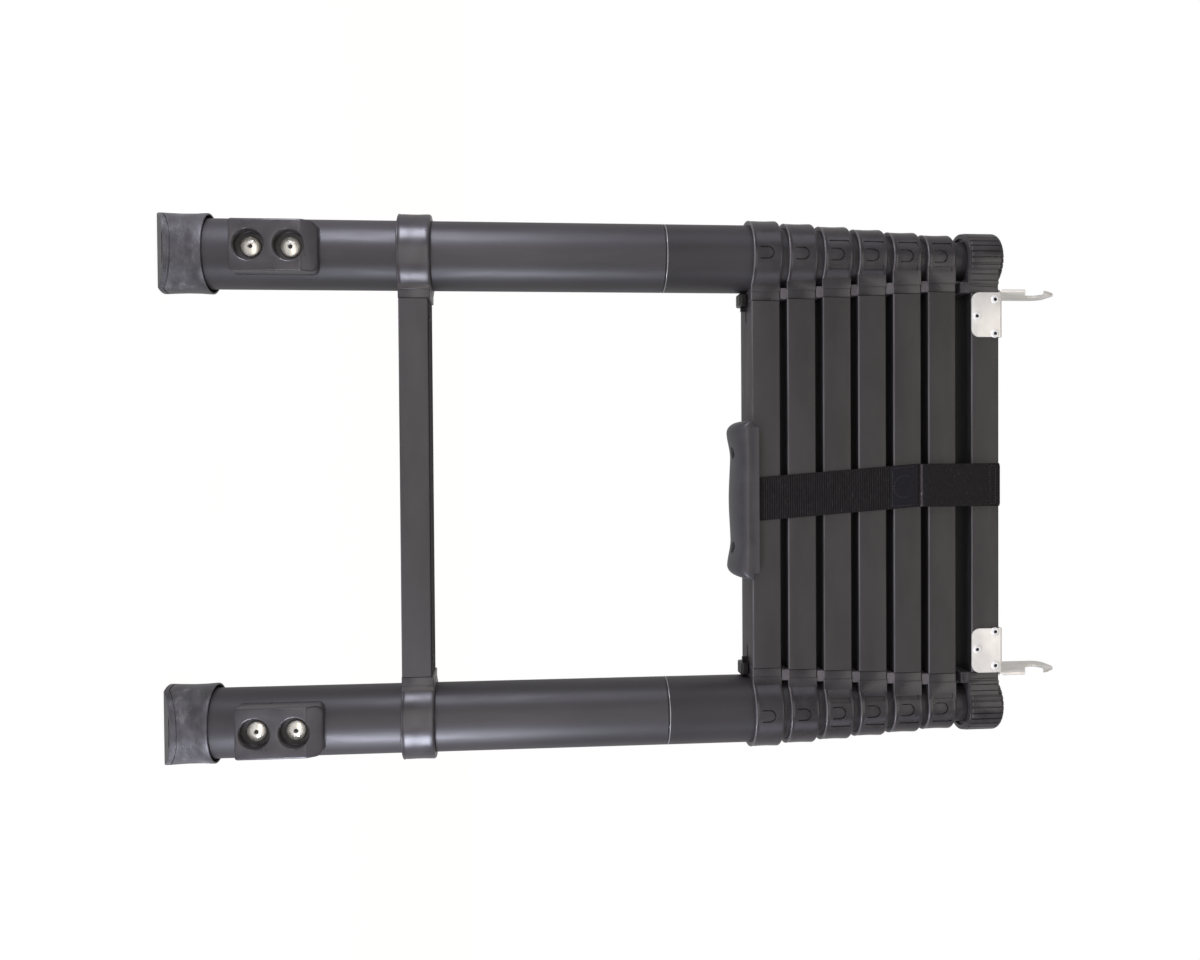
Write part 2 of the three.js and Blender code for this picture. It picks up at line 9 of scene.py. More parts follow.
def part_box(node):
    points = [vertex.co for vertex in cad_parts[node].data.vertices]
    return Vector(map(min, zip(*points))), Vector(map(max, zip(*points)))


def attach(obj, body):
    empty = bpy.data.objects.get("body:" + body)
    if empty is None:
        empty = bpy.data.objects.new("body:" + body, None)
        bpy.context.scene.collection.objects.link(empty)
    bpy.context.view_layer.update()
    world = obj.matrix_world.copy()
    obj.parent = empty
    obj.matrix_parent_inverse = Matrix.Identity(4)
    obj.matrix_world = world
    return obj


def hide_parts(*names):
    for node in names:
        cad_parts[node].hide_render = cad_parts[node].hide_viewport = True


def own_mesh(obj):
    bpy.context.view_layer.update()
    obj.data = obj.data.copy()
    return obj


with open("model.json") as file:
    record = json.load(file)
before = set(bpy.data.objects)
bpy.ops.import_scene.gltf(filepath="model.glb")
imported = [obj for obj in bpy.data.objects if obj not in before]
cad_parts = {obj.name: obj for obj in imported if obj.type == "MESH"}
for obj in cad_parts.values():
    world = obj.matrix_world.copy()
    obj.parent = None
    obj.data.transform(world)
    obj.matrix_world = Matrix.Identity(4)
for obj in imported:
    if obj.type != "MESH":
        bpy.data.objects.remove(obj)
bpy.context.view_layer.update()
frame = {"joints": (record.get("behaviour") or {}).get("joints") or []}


# ---- Camera ----
# The ladder is seen square on from the front, from a little under a metre away, with the camera
# turned a quarter so that the feet are on the left of the picture and the hooks on the right.

CAMERA_PLACE = Vector((-0.0203, -0.8852, 0.2889))
CAMERA_FORWARD = Vector((0.0170, 0.99604, 0.08745)).normalized()
CAMERA_UP = Vector((-0.99983, 0.01630, 0.00850)).normalized()
CAMERA_LENS = 30.695

camera = bpy.data.objects.new("camera", bpy.data.cameras.new("camera"))
bpy.context.scene.collection.objects.link(camera)
camera.data.sensor_width = 36
camera.data.lens = CAMERA_LENS
camera.data.clip_start = 0.01
camera_right = CAMERA_FORWARD.cross(CAMERA_UP).normalized()
camera_top = camera_right.cross(CAMERA_FORWARD)
camera_turn = Matrix((camera_right, camera_top, -CAMERA_FORWARD)).transposed().to_4x4()
camera.matrix_world = Matrix.Translation(CAMERA_PLACE) @ camera_turn
bpy.context.scene.camera = camera


# ---- Studio ----
# A white table and wall with the dark of the room in front. Tall soft boxes at the left, right and
# front lay soft streaks along the stiles, and three low ones light the feet.

bpy.context.scene.view_settings.view_transform = "Standard"

studio_air = bpy.data.worlds.new("studio_air")
studio_air.use_nodes = True
bpy.context.scene.world = studio_air
air_nodes, air_links = studio_air.node_tree.nodes, studio_air.node_tree.links
white_wall = air_nodes["Background"]
white_wall.inputs["Color"].default_value = (1.0, 1.0, 1.0, 1)
room_light = air_nodes.new("ShaderNodeBackground")
room_light.inputs["Color"].default_value = (1.0, 0.985, 0.97, 1)
facing = air_nodes.new("ShaderNodeTexCoord")
facing_parts = air_nodes.new("ShaderNodeSeparateXYZ")
front_to_back = air_nodes.new("ShaderNodeMapRange")
front_to_back.inputs["From Min"].default_value = -0.7
front_to_back.inputs["From Max"].default_value = 0.6
front_to_back.inputs["To Min"].default_value = 0.06
front_to_back.inputs["To Max"].default_value = 0.55
ray = air_nodes.new("ShaderNodeLightPath")
choose = air_nodes.new("ShaderNodeMixShader")
air_links.new(facing.outputs["Generated"], facing_parts.inputs["Vector"])
air_links.new(facing_parts.outputs["Y"], front_to_back.inputs["Value"])
air_links.new(front_to_back.outputs["Result"], room_light.inputs["Strength"])
air_links.new(ray.outputs["Is Camera Ray"], choose.inputs["Fac"])
air_links.new(room_light.outputs["Background"], choose.inputs[1])
air_links.new(white_wall.outputs["Background"], choose.inputs[2])
air_links.new(choose.outputs["Shader"], air_nodes["World Output"].inputs["Surface"])


def soft_box(name, place, target, size, power, colour):
    lamp = bpy.data.lights.new(name, "AREA")
    lamp.shape = "RECTANGLE"
    lamp.size, lamp.size_y = size
    lamp.energy = power
    lamp.color = colour
    box = bpy.data.objects.new(name, lamp)
    bpy.context.scene.collection.objects.link(box)
    box.location = place
    box.rotation_euler = (Vector(target) - Vector(place)).to_track_quat("-Z", "Y").to_euler()


soft_box("soft_box_left", (-1.5, -0.75, 0.4), (0, 0, 0.4), (0.9, 1.6), 6, (0.84, 0.86, 1.0))
soft_box("soft_box_right", (1.35, -0.95, 0.4), (0, 0, 0.4), (0.6, 1.6), 5, (0.80, 0.84, 1.0))
soft_box("soft_box_front", (0.1, -1.5, 1.7), (0, 0, 0.4), (1.6, 0.8), 8, (1.0, 0.94, 0.90))
soft_box("low_box_left", (-0.65, -0.33, 0.09), (-0.2, 0, 0.08), (0.24, 0.15), 3.2, (0.84, 0.84, 1.0))
soft_box("low_box_right", (0.65, -0.34, 0.09), (0.1, 0, 0.08), (0.24, 0.15), 4.6, (0.82, 0.84, 1.0))
soft_box("low_box_front", (0, -1.25, 0.22), (0, 0, 0.02), (1.3, 0.35), 4.0, (1.0, 0.95, 0.90))

floor_bm = bmesh.new()
bmesh.ops.create_grid(floor_bm, x_segments=1, y_segments=1, size=6.0)
floor_mesh = bpy.data.meshes.new("pale_floor")
floor_bm.to_mesh(floor_mesh)
floor_bm.free()
pale_floor = bpy.data.objects.new("pale_floor", floor_mesh)
bpy.context.scene.collection.objects.link(pale_floor)
floor_paint = bpy.data.materials.new("floor_paint")
floor_paint.use_nodes = True
floor_shader = floor_paint.node_tree.nodes["Principled BSDF"]
floor_shader.inputs["Base Color"].default_value = (0.16, 0.16, 0.16, 1)
floor_shader.inputs["Roughness"].default_value = 0.9
floor_shader.inputs["Emission Color"].default_value = (1.0, 0.99, 0.98, 1)
floor_ray = floor_paint.node_tree.nodes.new("ShaderNodeLightPath")
floor_glow = floor_paint.node_tree.nodes.new("ShaderNodeMapRange")
floor_glow.inputs["To Min"].default_value = 0.38
floor_glow.inputs["To Max"].default_value = 0.93
floor_paint.node_tree.links.new(floor_ray.outputs["Is Camera Ray"], floor_glow.inputs["Value"])
floor_paint.node_tree.links.new(floor_glow.outputs["Result"], floor_shader.inputs["Emission Strength"])
floor_mesh.materials.append(floor_paint)


# ---- Foot caps ----
# Moulded rubber shoes that close the bottom of each stile. Each is pushed onto the pull-out foot
# tube, and its loose rim stands round the outer tube with a dark gap between them.

MM = 0.001
SIDES = ("left", "right")
tube_low, tube_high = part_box("outer_tube_left")
STILE = (tube_low + tube_high) / 2      # the left stile's axis; the right one mirrors it
TUBE_RADIUS = (tube_high.x - tube_low.x) / 2 / MM
TUBE_STEP = 2.08                        # each tube is this much smaller in radius
TUBE_WALL = 1.4
FINE = 128                              # facets of a large round piece


def tube_radius(number):
    return TUBE_RADIUS - TUBE_STEP * (number - 1)


def turned(profile, steps=FINE, closed=False):
    """A body of revolution about z from [radius, height] points in mm; closed joins the ends."""
    bm = bmesh.new()
    points = [bm.verts.new((radius * MM, 0, height * MM)) for radius, height in profile]
    pairs = list(zip(points, points[1:])) + ([(points[-1], points[0])] if closed else [])
    edges = [bm.edges.new(pair) for pair in pairs]
    bmesh.ops.spin(bm, geom=points + edges, cent=(0, 0, 0), axis=(0, 0, 1),
                   angle=2 * math.pi, steps=steps, use_merge=True)
    bmesh.ops.remove_doubles(bm, verts=bm.verts, dist=1e-6)
    bmesh.ops.recalc_face_normals(bm, faces=bm.faces)
    return bm


def arc(centre_x, centre_y, radius, start, end, steps):
    """Points on an arc, angles in degrees."""
    return [(centre_x + radius * math.cos(math.radians(start + (end - start) * i / steps)),
             centre_y + radius * math.sin(math.radians(start + (end - start) * i / steps)))
            for i in range(steps + 1)]


def combine(bm, tool, operation):
    """bm with the closed body tool joined on ("UNION") or cut away ("DIFFERENCE"); both are used up."""
    made = []
    for source in (bm, tool):
        mesh = bpy.data.meshes.new("combining")
        source.to_mesh(mesh)
        source.free()
        made.append(bpy.data.objects.new("combining", mesh))
        bpy.context.scene.collection.objects.link(made[-1])
    work, cutter = made
    modifier = work.modifiers.new("combine", "BOOLEAN")
    modifier.operation = operation
    modifier.solver = "EXACT"
    modifier.object = cutter
    bpy.context.view_layer.update()
    result = bmesh.new()
    result.from_object(work, bpy.context.evaluated_depsgraph_get())
    for item in made:
        mesh = item.data
        bpy.data.objects.remove(item)
        bpy.data.meshes.remove(mesh)
    return result


def block(x, y, z):
    """A box between pairs of limits in mm."""
    bm = bmesh.new()
    bmesh.ops.create_cube(bm, size=1.0)
    size = [(high - low) * MM for low, high in (x, y, z)]
    middle = [(high + low) / 2 * MM for low, high in (x, y, z)]
    bmesh.ops.scale(bm, vec=size, verts=bm.verts)
    bmesh.ops.translate(bm, vec=middle, verts=bm.verts)
    return bm


def soften(bm, width, segments=3, angle=30, chosen=None):
    """Rounds every edge sharper than the angle, or the chosen edges, by a width in mm."""
    edges = chosen if chosen is not None else [
        edge for edge in bm.edges
        if len(edge.link_faces) == 2 and edge.calc_face_angle() > math.radians(angle)]
    bmesh.ops.bevel(bm, geom=edges, offset=width * MM, segments=segments, profile=0.5,
                    affect="EDGES", clamp_overlap=True, material=-1)
    return bm


def prism(outline, low, high, along="z"):
    """An outline in mm pulled straight along z, or along y from x, z points, or along x from y, z."""
    bm = bmesh.new()
    place = {
        "z": lambda a, b: (a * MM, b * MM, low * MM),
        "y": lambda a, b: (a * MM, low * MM, b * MM),
        "x": lambda a, b: (low * MM, a * MM, b * MM),
    }[along]
    corners = [bm.verts.new(place(a, b)) for a, b in outline]
    face = bm.faces.new(corners)
    pulled = bmesh.ops.extrude_face_region(bm, geom=[face])
    step = Vector([(high - low) * MM if axis == along else 0 for axis in "xyz"])
    moved = [item for item in pulled["geom"] if isinstance(item, bmesh.types.BMVert)]
    bmesh.ops.translate(bm, vec=step, verts=moved)
    bmesh.ops.recalc_face_normals(bm, faces=bm.faces)
    return bm


def stand(name, bm, material, body, nodes, sharp=32):
    """Makes the finished piece: shaded smooth up to its sharp edges, riding on its body.

    A list of materials is given where some faces are set to the second or third of them.
    """
    mesh = bpy.data.meshes.new(name)
    bm.to_mesh(mesh)
    bm.free()
    mesh.shade_smooth()
    mesh.set_sharp_from_angle(angle=math.radians(sharp))
    for layer in material if isinstance(material, list) else [material]:
        mesh.materials.append(layer)
    piece = bpy.data.objects.new(name, mesh)
    bpy.context.scene.collection.objects.link(piece)
    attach(piece, body)
    if nodes:
        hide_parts(*nodes)
    return piece


def on_both_stiles(name, bm, material, body, nodes, sharp=32):
    """A piece made round the axis x = 0, y = 0, with +x inwards, for the left and right stile."""
    for side in SIDES:
        copy = bm.copy()
        if side == "right":
            bmesh.ops.scale(copy, vec=(-1, 1, 1), verts=copy.verts)
            bmesh.ops.reverse_faces(copy, faces=copy.faces)
        axis_x = STILE.x if side == "left" else -STILE.x
        bmesh.ops.translate(copy, vec=(axis_x, STILE.y, 0), verts=copy.verts)
        replaced = [node.format(side=side) for node in nodes]
        stand(name.format(side=side), copy, material, body.format(side=side), replaced, sharp)
    bm.free()


def new_material(name, colour, roughness, metallic=0.0):
    material = bpy.data.materials.new(name)
    material.use_nodes = True
    shader = material.node_tree.nodes["Principled BSDF"]
    shader.inputs["Base Color"].default_value = (*colour, 1)
    shader.inputs["Roughness"].default_value = roughness
    shader.inputs["Metallic"].default_value = metallic
    return material, material.node_tree.nodes, material.node_tree.links, shader


def pattern(nodes, links, kind, scale, stretch=(1, 1, 1), **settings):
    """A noise, wave or voronoi texture on object coordinates, stretched along the axes."""
    place = nodes.new("ShaderNodeTexCoord")
    mapping = nodes.new("ShaderNodeMapping")
    mapping.inputs["Scale"].default_value = stretch
    texture = nodes.new("ShaderNodeTex" + kind)
    texture.inputs["Scale"].default_value = scale
    for setting, value in settings.items():
        texture.inputs[setting].default_value = value
    links.new(place.outputs["Object"], mapping.inputs["Vector"])
    links.new(mapping.outputs["Vector"], texture.inputs["Vector"])
    return texture


def ramp(nodes, links, source, stops):
    """Turns a 0 to 1 value into colours or greys at the given stops."""
    node = nodes.new("ShaderNodeValToRGB")
    band = node.color_ramp
    while len(band.elements) < len(stops):
        band.elements.new(0.5)
    for element, (position, colour) in zip(band.elements, stops):
        element.position = position
        element.color = (*colour, 1)
    links.new(source, node.inputs["Fac"])
    return node.outputs["Color"]


def grey(value):
    return (value, value, value)


def add_bump(nodes, links, shader, sources):
    """Chains bumps, each a (height output, strength, distance in mm), onto the shader's normal."""
    last = None
    for height, strength, distance in sources:
        bump = nodes.new("ShaderNodeBump")
        bump.inputs["Strength"].default_value = strength
        bump.inputs["Distance"].default_value = distance * MM
        links.new(height, bump.inputs["Height"])
        if last:
            links.new(last, bump.inputs["Normal"])
        last = bump.outputs["Normal"]
    links.new(last, shader.inputs["Normal"])


def scuffed_rubber():
    """Black shoe rubber: greyed and scuffed where it has rubbed, with a fine moulded grain."""
    material, nodes, links, shader = new_material("scuffed_rubber", (0.03, 0.029, 0.031), 0.5)
    patches = pattern(nodes, links, "Noise", 60, (1, 1, 1.6), Detail=8.0, Roughness=0.62)
    colours = [(0.36, (0.042, 0.040, 0.043)), (0.56, (0.074, 0.071, 0.075)), (0.70, (0.165, 0.160, 0.165))]
    links.new(ramp(nodes, links, patches.outputs["Fac"], colours), shader.inputs["Base Color"])
    rub = ramp(nodes, links, patches.outputs["Fac"], [(0.35, grey(0.28)), (0.7, grey(0.48))])
    links.new(rub, shader.inputs["Roughness"])
    grain = pattern(nodes, links, "Noise", 1800, Detail=3.0)
    scars = pattern(nodes, links, "Noise", 240, (1, 1, 3), Detail=6.0, Roughness=0.7)
    add_bump(nodes, links, shader, [(scars.outputs["Fac"], 0.35, 0.5), (grain.outputs["Fac"], 0.25, 0.08)])
    return material


FOOT_RADIUS = 33.5
FOOT_HEIGHT = 41
FOOT_BORE = 30.2
FOOT_SOLE = 8
FOOT_PLUG = tube_radius(2) - TUBE_WALL - 0.3
FOOT_CUT_FROM = -12         # the sole is flat behind this and slopes up to the front
FOOT_CUT_RISE = 12
FOOT_CUT_SLOPE = FOOT_CUT_RISE / (FOOT_RADIUS + FOOT_CUT_FROM)
TREAD_LINE = 4.2            # the sole layer's seam stands this far above the sole
TREAD_SEAM = 0.9
TREAD_GROOVES = 5
TREAD_PITCH = 8
TREAD_DEPTH = 1.3
foot_profile = [
    (0, 0), (FOOT_RADIUS - 1.2, 0), *arc(FOOT_RADIUS - 1.2, 1.2, 1.2, -70, 0, 4),
    (FOOT_RADIUS - 0.3, 9), (FOOT_RADIUS - 0.5, 20), (FOOT_RADIUS - 0.4, 31), (FOOT_RADIUS - 0.1, 36),
    *arc(FOOT_RADIUS - 0.8, FOOT_HEIGHT - 0.8, 0.8, 0, 180, 8), (FOOT_RADIUS - 1.5, 30),
    (FOOT_BORE, 20), (FOOT_BORE, FOOT_SOLE), (FOOT_PLUG, FOOT_SOLE), (FOOT_PLUG, 22), (0, 22),
]


def sole_layer(bottom, top):
    """A slab across the shoe between two heights above the sole, following its slope."""
    front, back = -FOOT_RADIUS - 2, FOOT_RADIUS + 2
    rise = FOOT_CUT_SLOPE * (FOOT_CUT_FROM - front)
    outline = [(back, bottom), (back, top), (FOOT_CUT_FROM, top), (front, rise + top),
               (front, rise + bottom), (FOOT_CUT_FROM, bottom)]
    return prism(outline, front, back, along="x")


foot_bm = combine(turned(foot_profile), sole_layer(-30, 0), "DIFFERENCE")
sole_edges = [edge for edge in foot_bm.edges
              if len(edge.link_faces) == 2 and edge.calc_face_angle() > math.radians(30)
              and max(vert.co.z for vert in edge.verts) < 13 * MM
              and min(math.hypot(vert.co.x, vert.co.y) for vert in edge.verts) > 31 * MM]
soften(foot_bm, 0.7, 3, chosen=sole_edges)
seam_core = turned([(0, -1), (FOOT_RADIUS - 1.3, -1), (FOOT_RADIUS - 1.3, 30), (0, 30)])
seam_ring = combine(sole_layer(TREAD_LINE, TREAD_LINE + TREAD_SEAM), seam_core, "DIFFERENCE")
foot_bm = combine(foot_bm, seam_ring, "DIFFERENCE")
for tread in range(TREAD_GROOVES):
    across_y = TREAD_PITCH * (tread - 1)
    tread_groove = block((-36, 36), (across_y - 1.1, across_y + 1.1), (-1, TREAD_DEPTH))
    foot_bm = combine(foot_bm, tread_groove, "DIFFERENCE")
for vert in foot_bm.verts:
    # the rim sags a little out of true, and the wall is slightly dented
    around = math.atan2(vert.co.y, vert.co.x)
    reach = math.hypot(vert.co.x, vert.co.y) / MM
    height = vert.co.z / MM
    if reach > 29:
        sag = max(0.0, (height - 33) / 8) * (0.35 * math.sin(2 * around) - 0.4)
        up_wall = min(1.0, max(0.0, (height - 6) / 33))
        dent = 0.22 * math.sin(3 * around + 0.8) * math.sin(math.pi * up_wall)
        vert.co.z += sag * MM
        vert.co.x -= abs(dent) * MM * math.cos(around)
        vert.co.y -= abs(dent) * MM * math.sin(around)
on_both_stiles("foot_shoe_{side}", foot_bm, scuffed_rubber(), "foot_{side}",
               ["foot_cap_{side}"])


# ---- Stile tubes ----
# Seven round aluminium tubes in each stile, drawn thin, anodised satin black, and running one in
# the next. The outer one has a shallow ring groove where two lengths meet above half height.

def anodised_tube():
    """Satin black anodising on drawn tube: faint lengthwise die lines, cloudy patches and rubs."""
    material, nodes, links, shader = new_material("anodised_tube", (0.030, 0.030, 0.033), 0.36)
    clouds = pattern(nodes, links, "Noise", 22, (1, 1, 0.35), Detail=5.0)
    tint = [(0.35, (0.026, 0.0238, 0.0252)), (0.65, (0.038, 0.0352, 0.0368))]
    links.new(ramp(nodes, links, clouds.outputs["Fac"], tint), shader.inputs["Base Color"])
    rubs = pattern(nodes, links, "Noise", 90, (1, 1, 0.12), Detail=8.0, Roughness=0.65)
    gloss = ramp(nodes, links, rubs.outputs["Fac"], [(0.3, grey(0.38)), (0.7, grey(0.52))])
    links.new(gloss, shader.inputs["Roughness"])
    lines = pattern(nodes, links, "Noise", 1400, (1, 1, 0.004), Detail=2.0)
    waves = pattern(nodes, links, "Noise", 70, (1, 1, 0.05), Detail=3.0)
    add_bump(nodes, links, shader, [(waves.outputs["Fac"], 0.12, 0.4), (lines.outputs["Fac"], 0.18, 0.03)])
    return material


button_low, button_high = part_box("lock_button_left_lower")
BUTTON_Z = (button_low.z + button_high.z) / 2 / MM
BUTTON_PITCH = (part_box("lock_button_left_upper")[0].z - button_low.z) / MM
BUTTON_HOLE = 8.6
foot_joint = next(joint for joint in frame["joints"] if joint["name"] == "foot_left_slide")
FOOT_TRAVEL = foot_joint["range_m"][1] / MM
SEAM_Z = 422.5              # where the ring groove is


def slot_cutter(low, high):
    """A slot with round ends, cut from the front to the tube's middle."""
    outline = arc(0, low, BUTTON_HOLE, 180, 360, 24) + arc(0, high, BUTTON_HOLE, 0, 180, 24)
    return prism(outline, -45, -10, along="y")


satin_tube = anodised_tube()
outer_low, outer_high = tube_low.z / MM, tube_high.z / MM
outer_profile = [
    (TUBE_RADIUS - TUBE_WALL, outer_low), (TUBE_RADIUS - 0.3, outer_low), (TUBE_RADIUS, outer_low + 0.3),
    (TUBE_RADIUS, SEAM_Z - 1.4), (TUBE_RADIUS + 0.1, SEAM_Z - 1.0), (TUBE_RADIUS - 0.05, SEAM_Z - 0.7),
    (TUBE_RADIUS - 0.8, SEAM_Z - 0.2), (TUBE_RADIUS - 0.8, SEAM_Z + 0.2),
    (TUBE_RADIUS - 0.05, SEAM_Z + 0.7), (TUBE_RADIUS + 0.1, SEAM_Z + 1.0), (TUBE_RADIUS, SEAM_Z + 1.4),
    (TUBE_RADIUS, outer_high - 0.3), (TUBE_RADIUS - 0.3, outer_high), (TUBE_RADIUS - TUBE_WALL, outer_high),
]
button_slot = slot_cutter(BUTTON_Z, BUTTON_Z + BUTTON_PITCH)
outer_bm = combine(turned(outer_profile, closed=True), button_slot, "DIFFERENCE")
on_both_stiles("stile_tube_1_{side}", outer_bm, satin_tube, "base", ["outer_tube_{side}"])

# a paler metallic ring along the groove's upper lip: a painted highlight for the glint the lip catches
lip_bm = turned([
    (TUBE_RADIUS - 0.3, SEAM_Z + 0.55), (TUBE_RADIUS + 0.14, SEAM_Z + 0.6),
    (TUBE_RADIUS + 0.2, SEAM_Z + 0.75), (TUBE_RADIUS + 0.2, SEAM_Z + 1.05),
    (TUBE_RADIUS + 0.1, SEAM_Z + 1.3), (TUBE_RADIUS - 0.3, SEAM_Z + 1.3),
], closed=True)
# the lip ring's pale grey is a painted highlight
painted_lip_highlight = new_material("painted_lip_highlight", (0.36, 0.355, 0.365), 0.34, 0.6)[0]
on_both_stiles("tube_seam_lip_{side}", lip_bm, painted_lip_highlight, "base", [])


def plain_tube(radius, low, high):
    inner = radius - TUBE_WALL
    return turned([(inner, low), (radius - 0.3, low), (radius, low + 0.3),
                   (radius, high - 0.3), (radius - 0.3, high), (inner, high)], closed=True)


for number in range(2, 8):
    low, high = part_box(f"tube_{number}_left")
    inner_bm = plain_tube(tube_radius(number), low.z / MM, high.z / MM)
    on_both_stiles(f"stile_tube_{number}_{{side}}", inner_bm, satin_tube, f"section_{number}",
                   [f"tube_{number}_{{side}}"])


# ---- Foot tubes ----
# A short tube slides out of the bottom of each stile to level the ladder. It carries the rubber
# shoe and has a long slot that lets the lock buttons stand through it.

low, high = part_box("foot_tube_left")
foot_tube_bm = combine(plain_tube(tube_radius(2), low.z / MM, high.z / MM),
                       slot_cutter(BUTTON_Z, BUTTON_Z + BUTTON_PITCH + FOOT_TRAVEL), "DIFFERENCE")
on_both_stiles("foot_inner_tube_{side}", foot_tube_bm, satin_tube, "foot_{side}",
               ["foot_tube_{side}"])


# ---- Lock housings ----
# A thick moulded block screwed to the front of each stile over the lock buttons, saddled onto the
# tube, with a round finger recess for each button and a sloping upper end.

def moulded_nylon(name="moulded_nylon", shade=1.0):
    """Black glass-filled nylon as moulded: semi-gloss, with a faint orange-peel and a fine grain."""
    material, nodes, links, shader = new_material(name, (0.028 * shade, 0.027 * shade, 0.029 * shade), 0.4)
    clouds = pattern(nodes, links, "Noise", 55, Detail=5.0)
    tint = [(0.35, (0.034 * shade, 0.0305 * shade, 0.0325 * shade)),
            (0.68, (0.050 * shade, 0.0455 * shade, 0.048 * shade))]
    links.new(ramp(nodes, links, clouds.outputs["Fac"], tint), shader.inputs["Base Color"])
    gloss = ramp(nodes, links, clouds.outputs["Fac"], [(0.3, grey(0.25)), (0.7, grey(0.36))])
    links.new(gloss, shader.inputs["Roughness"])
    peel = pattern(nodes, links, "Noise", 420, Detail=2.0)
    grain = pattern(nodes, links, "Noise", 3200, Detail=2.0)
    add_bump(nodes, links, shader, [(peel.outputs["Fac"], 0.14, 0.12), (grain.outputs["Fac"], 0.2, 0.03)])
    return material


housing_low, housing_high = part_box("lock_housing_left")
HOUSING_FRONT = (housing_low.y - STILE.y) / MM
HOUSING_BACK = -18
HOUSING_HALF = (housing_high.x - housing_low.x) / 2 / MM
HOUSING_BOTTOM = housing_low.z / MM
HOUSING_TOP = housing_high.z / MM
HOUSING_SLOPE = 12.2
HOUSING_CORNER = 6.0
HOUSING_LOWER_CORNER = 2.6
HOUSING_CROWN = -35         # the slope ends here, and the upper end is flat behind it
RECESS_RADIUS = 12.5
RECESS_FLOOR = -31.6

housing_bm = prism([
    (HOUSING_BACK, HOUSING_BOTTOM), (HOUSING_FRONT, HOUSING_BOTTOM),
    (HOUSING_FRONT, HOUSING_TOP - HOUSING_SLOPE), (HOUSING_CROWN, HOUSING_TOP), (HOUSING_BACK, HOUSING_TOP),
], -HOUSING_HALF, HOUSING_HALF, along="x")
corner_edges = [edge for edge in housing_bm.edges
                if abs((edge.verts[0].co - edge.verts[1].co).normalized().x) < 0.1
                and abs((edge.verts[0].co - edge.verts[1].co).normalized().z) < 0.1]
housing_middle = (housing_low.z + housing_high.z) / 2
top_corners = [edge for edge in corner_edges if edge.verts[0].co.z > housing_middle]
bottom_corners = [edge for edge in corner_edges if edge.verts[0].co.z < housing_middle]
soften(housing_bm, HOUSING_CORNER, 8, chosen=top_corners)
soften(housing_bm, HOUSING_LOWER_CORNER, 5, chosen=bottom_corners)
soften(housing_bm, 1.6, 4, angle=25)
saddle = TUBE_RADIUS + 0.3
tube_room = turned([(0, HOUSING_BOTTOM - 8), (saddle, HOUSING_BOTTOM - 8),
                    (saddle, HOUSING_TOP + 16), (0, HOUSING_TOP + 16)])
housing_bm = combine(housing_bm, tube_room, "DIFFERENCE")


def across(bm, height):
    """Turns a body made about z into one about the front-to-back axis at a height in mm."""
    laid_down = Matrix.Rotation(math.radians(-90), 3, "X")
    bmesh.ops.rotate(bm, cent=(0, 0, 0), matrix=laid_down, verts=bm.verts)
    bmesh.ops.translate(bm, vec=(0, 0, height * MM), verts=bm.verts)
    return bm


for height in (BUTTON_Z, BUTTON_Z + BUTTON_PITCH):
    recess = turned([
        (0, RECESS_FLOOR), (RECESS_RADIUS - 0.8, RECESS_FLOOR), (RECESS_RADIUS, RECESS_FLOOR - 0.8),
        *arc(RECESS_RADIUS + 1.2, HOUSING_FRONT + 1.2, 1.2, 180, 270, 4),
        (RECESS_RADIUS + 1.2, HOUSING_FRONT - 2), (0, HOUSING_FRONT - 2),
    ], steps=64)
    housing_bm = combine(housing_bm, across(recess, height), "DIFFERENCE")
    hole = turned([(0, -20), (BUTTON_HOLE, -20), (BUTTON_HOLE, -40), (0, -40)], steps=64)
    housing_bm = combine(housing_bm, across(hole, height), "DIFFERENCE")
housing_nylon = moulded_nylon("housing_nylon", 1.1)
on_both_stiles("lock_block_{side}", housing_bm, housing_nylon, "base",
               ["lock_housing_{side}"])


# ---- Lock buttons and their springs ----
# Turned steel buttons, nickel plated, with a lathe centre in the middle of the dome. A coil
# spring behind each one presses it out; pushing it in frees the foot tube.

def turned_nickel():
    """Nickel plate over lathe-turned steel: fine rings round the button's own axis."""
    material, nodes, links, shader = new_material("turned_nickel", (0.84, 0.81, 0.73), 0.3, 0.75)
    tarnish = pattern(nodes, links, "Noise", 260, Detail=6.0)
    tint = [(0.35, (0.78, 0.75, 0.66)), (0.7, (0.92, 0.895, 0.82))]
    links.new(ramp(nodes, links, tarnish.outputs["Fac"], tint), shader.inputs["Base Color"])
    gloss = ramp(nodes, links, tarnish.outputs["Fac"], [(0.35, grey(0.26)), (0.7, grey(0.38))])
    links.new(gloss, shader.inputs["Roughness"])
    scratches = pattern(nodes, links, "Noise", 900, (1, 1, 1), Detail=4.0)
    add_bump(nodes, links, shader, [(scratches.outputs["Fac"], 0.05, 0.02)])
    return material


def spring_wire():
    """Bright drawn spring wire with a thin film of oil."""
    material, nodes, links, shader = new_material("spring_wire", (0.55, 0.55, 0.57), 0.3, 1.0)
    film = pattern(nodes, links, "Noise", 300, Detail=4.0)
    tint = [(0.4, (0.42, 0.42, 0.44)), (0.65, (0.62, 0.62, 0.64))]
    links.new(ramp(nodes, links, film.outputs["Fac"], tint), shader.inputs["Base Color"])
    gloss = ramp(nodes, links, film.outputs["Fac"], [(0.4, grey(0.22)), (0.7, grey(0.4))])
    links.new(gloss, shader.inputs["Roughness"])
    return material


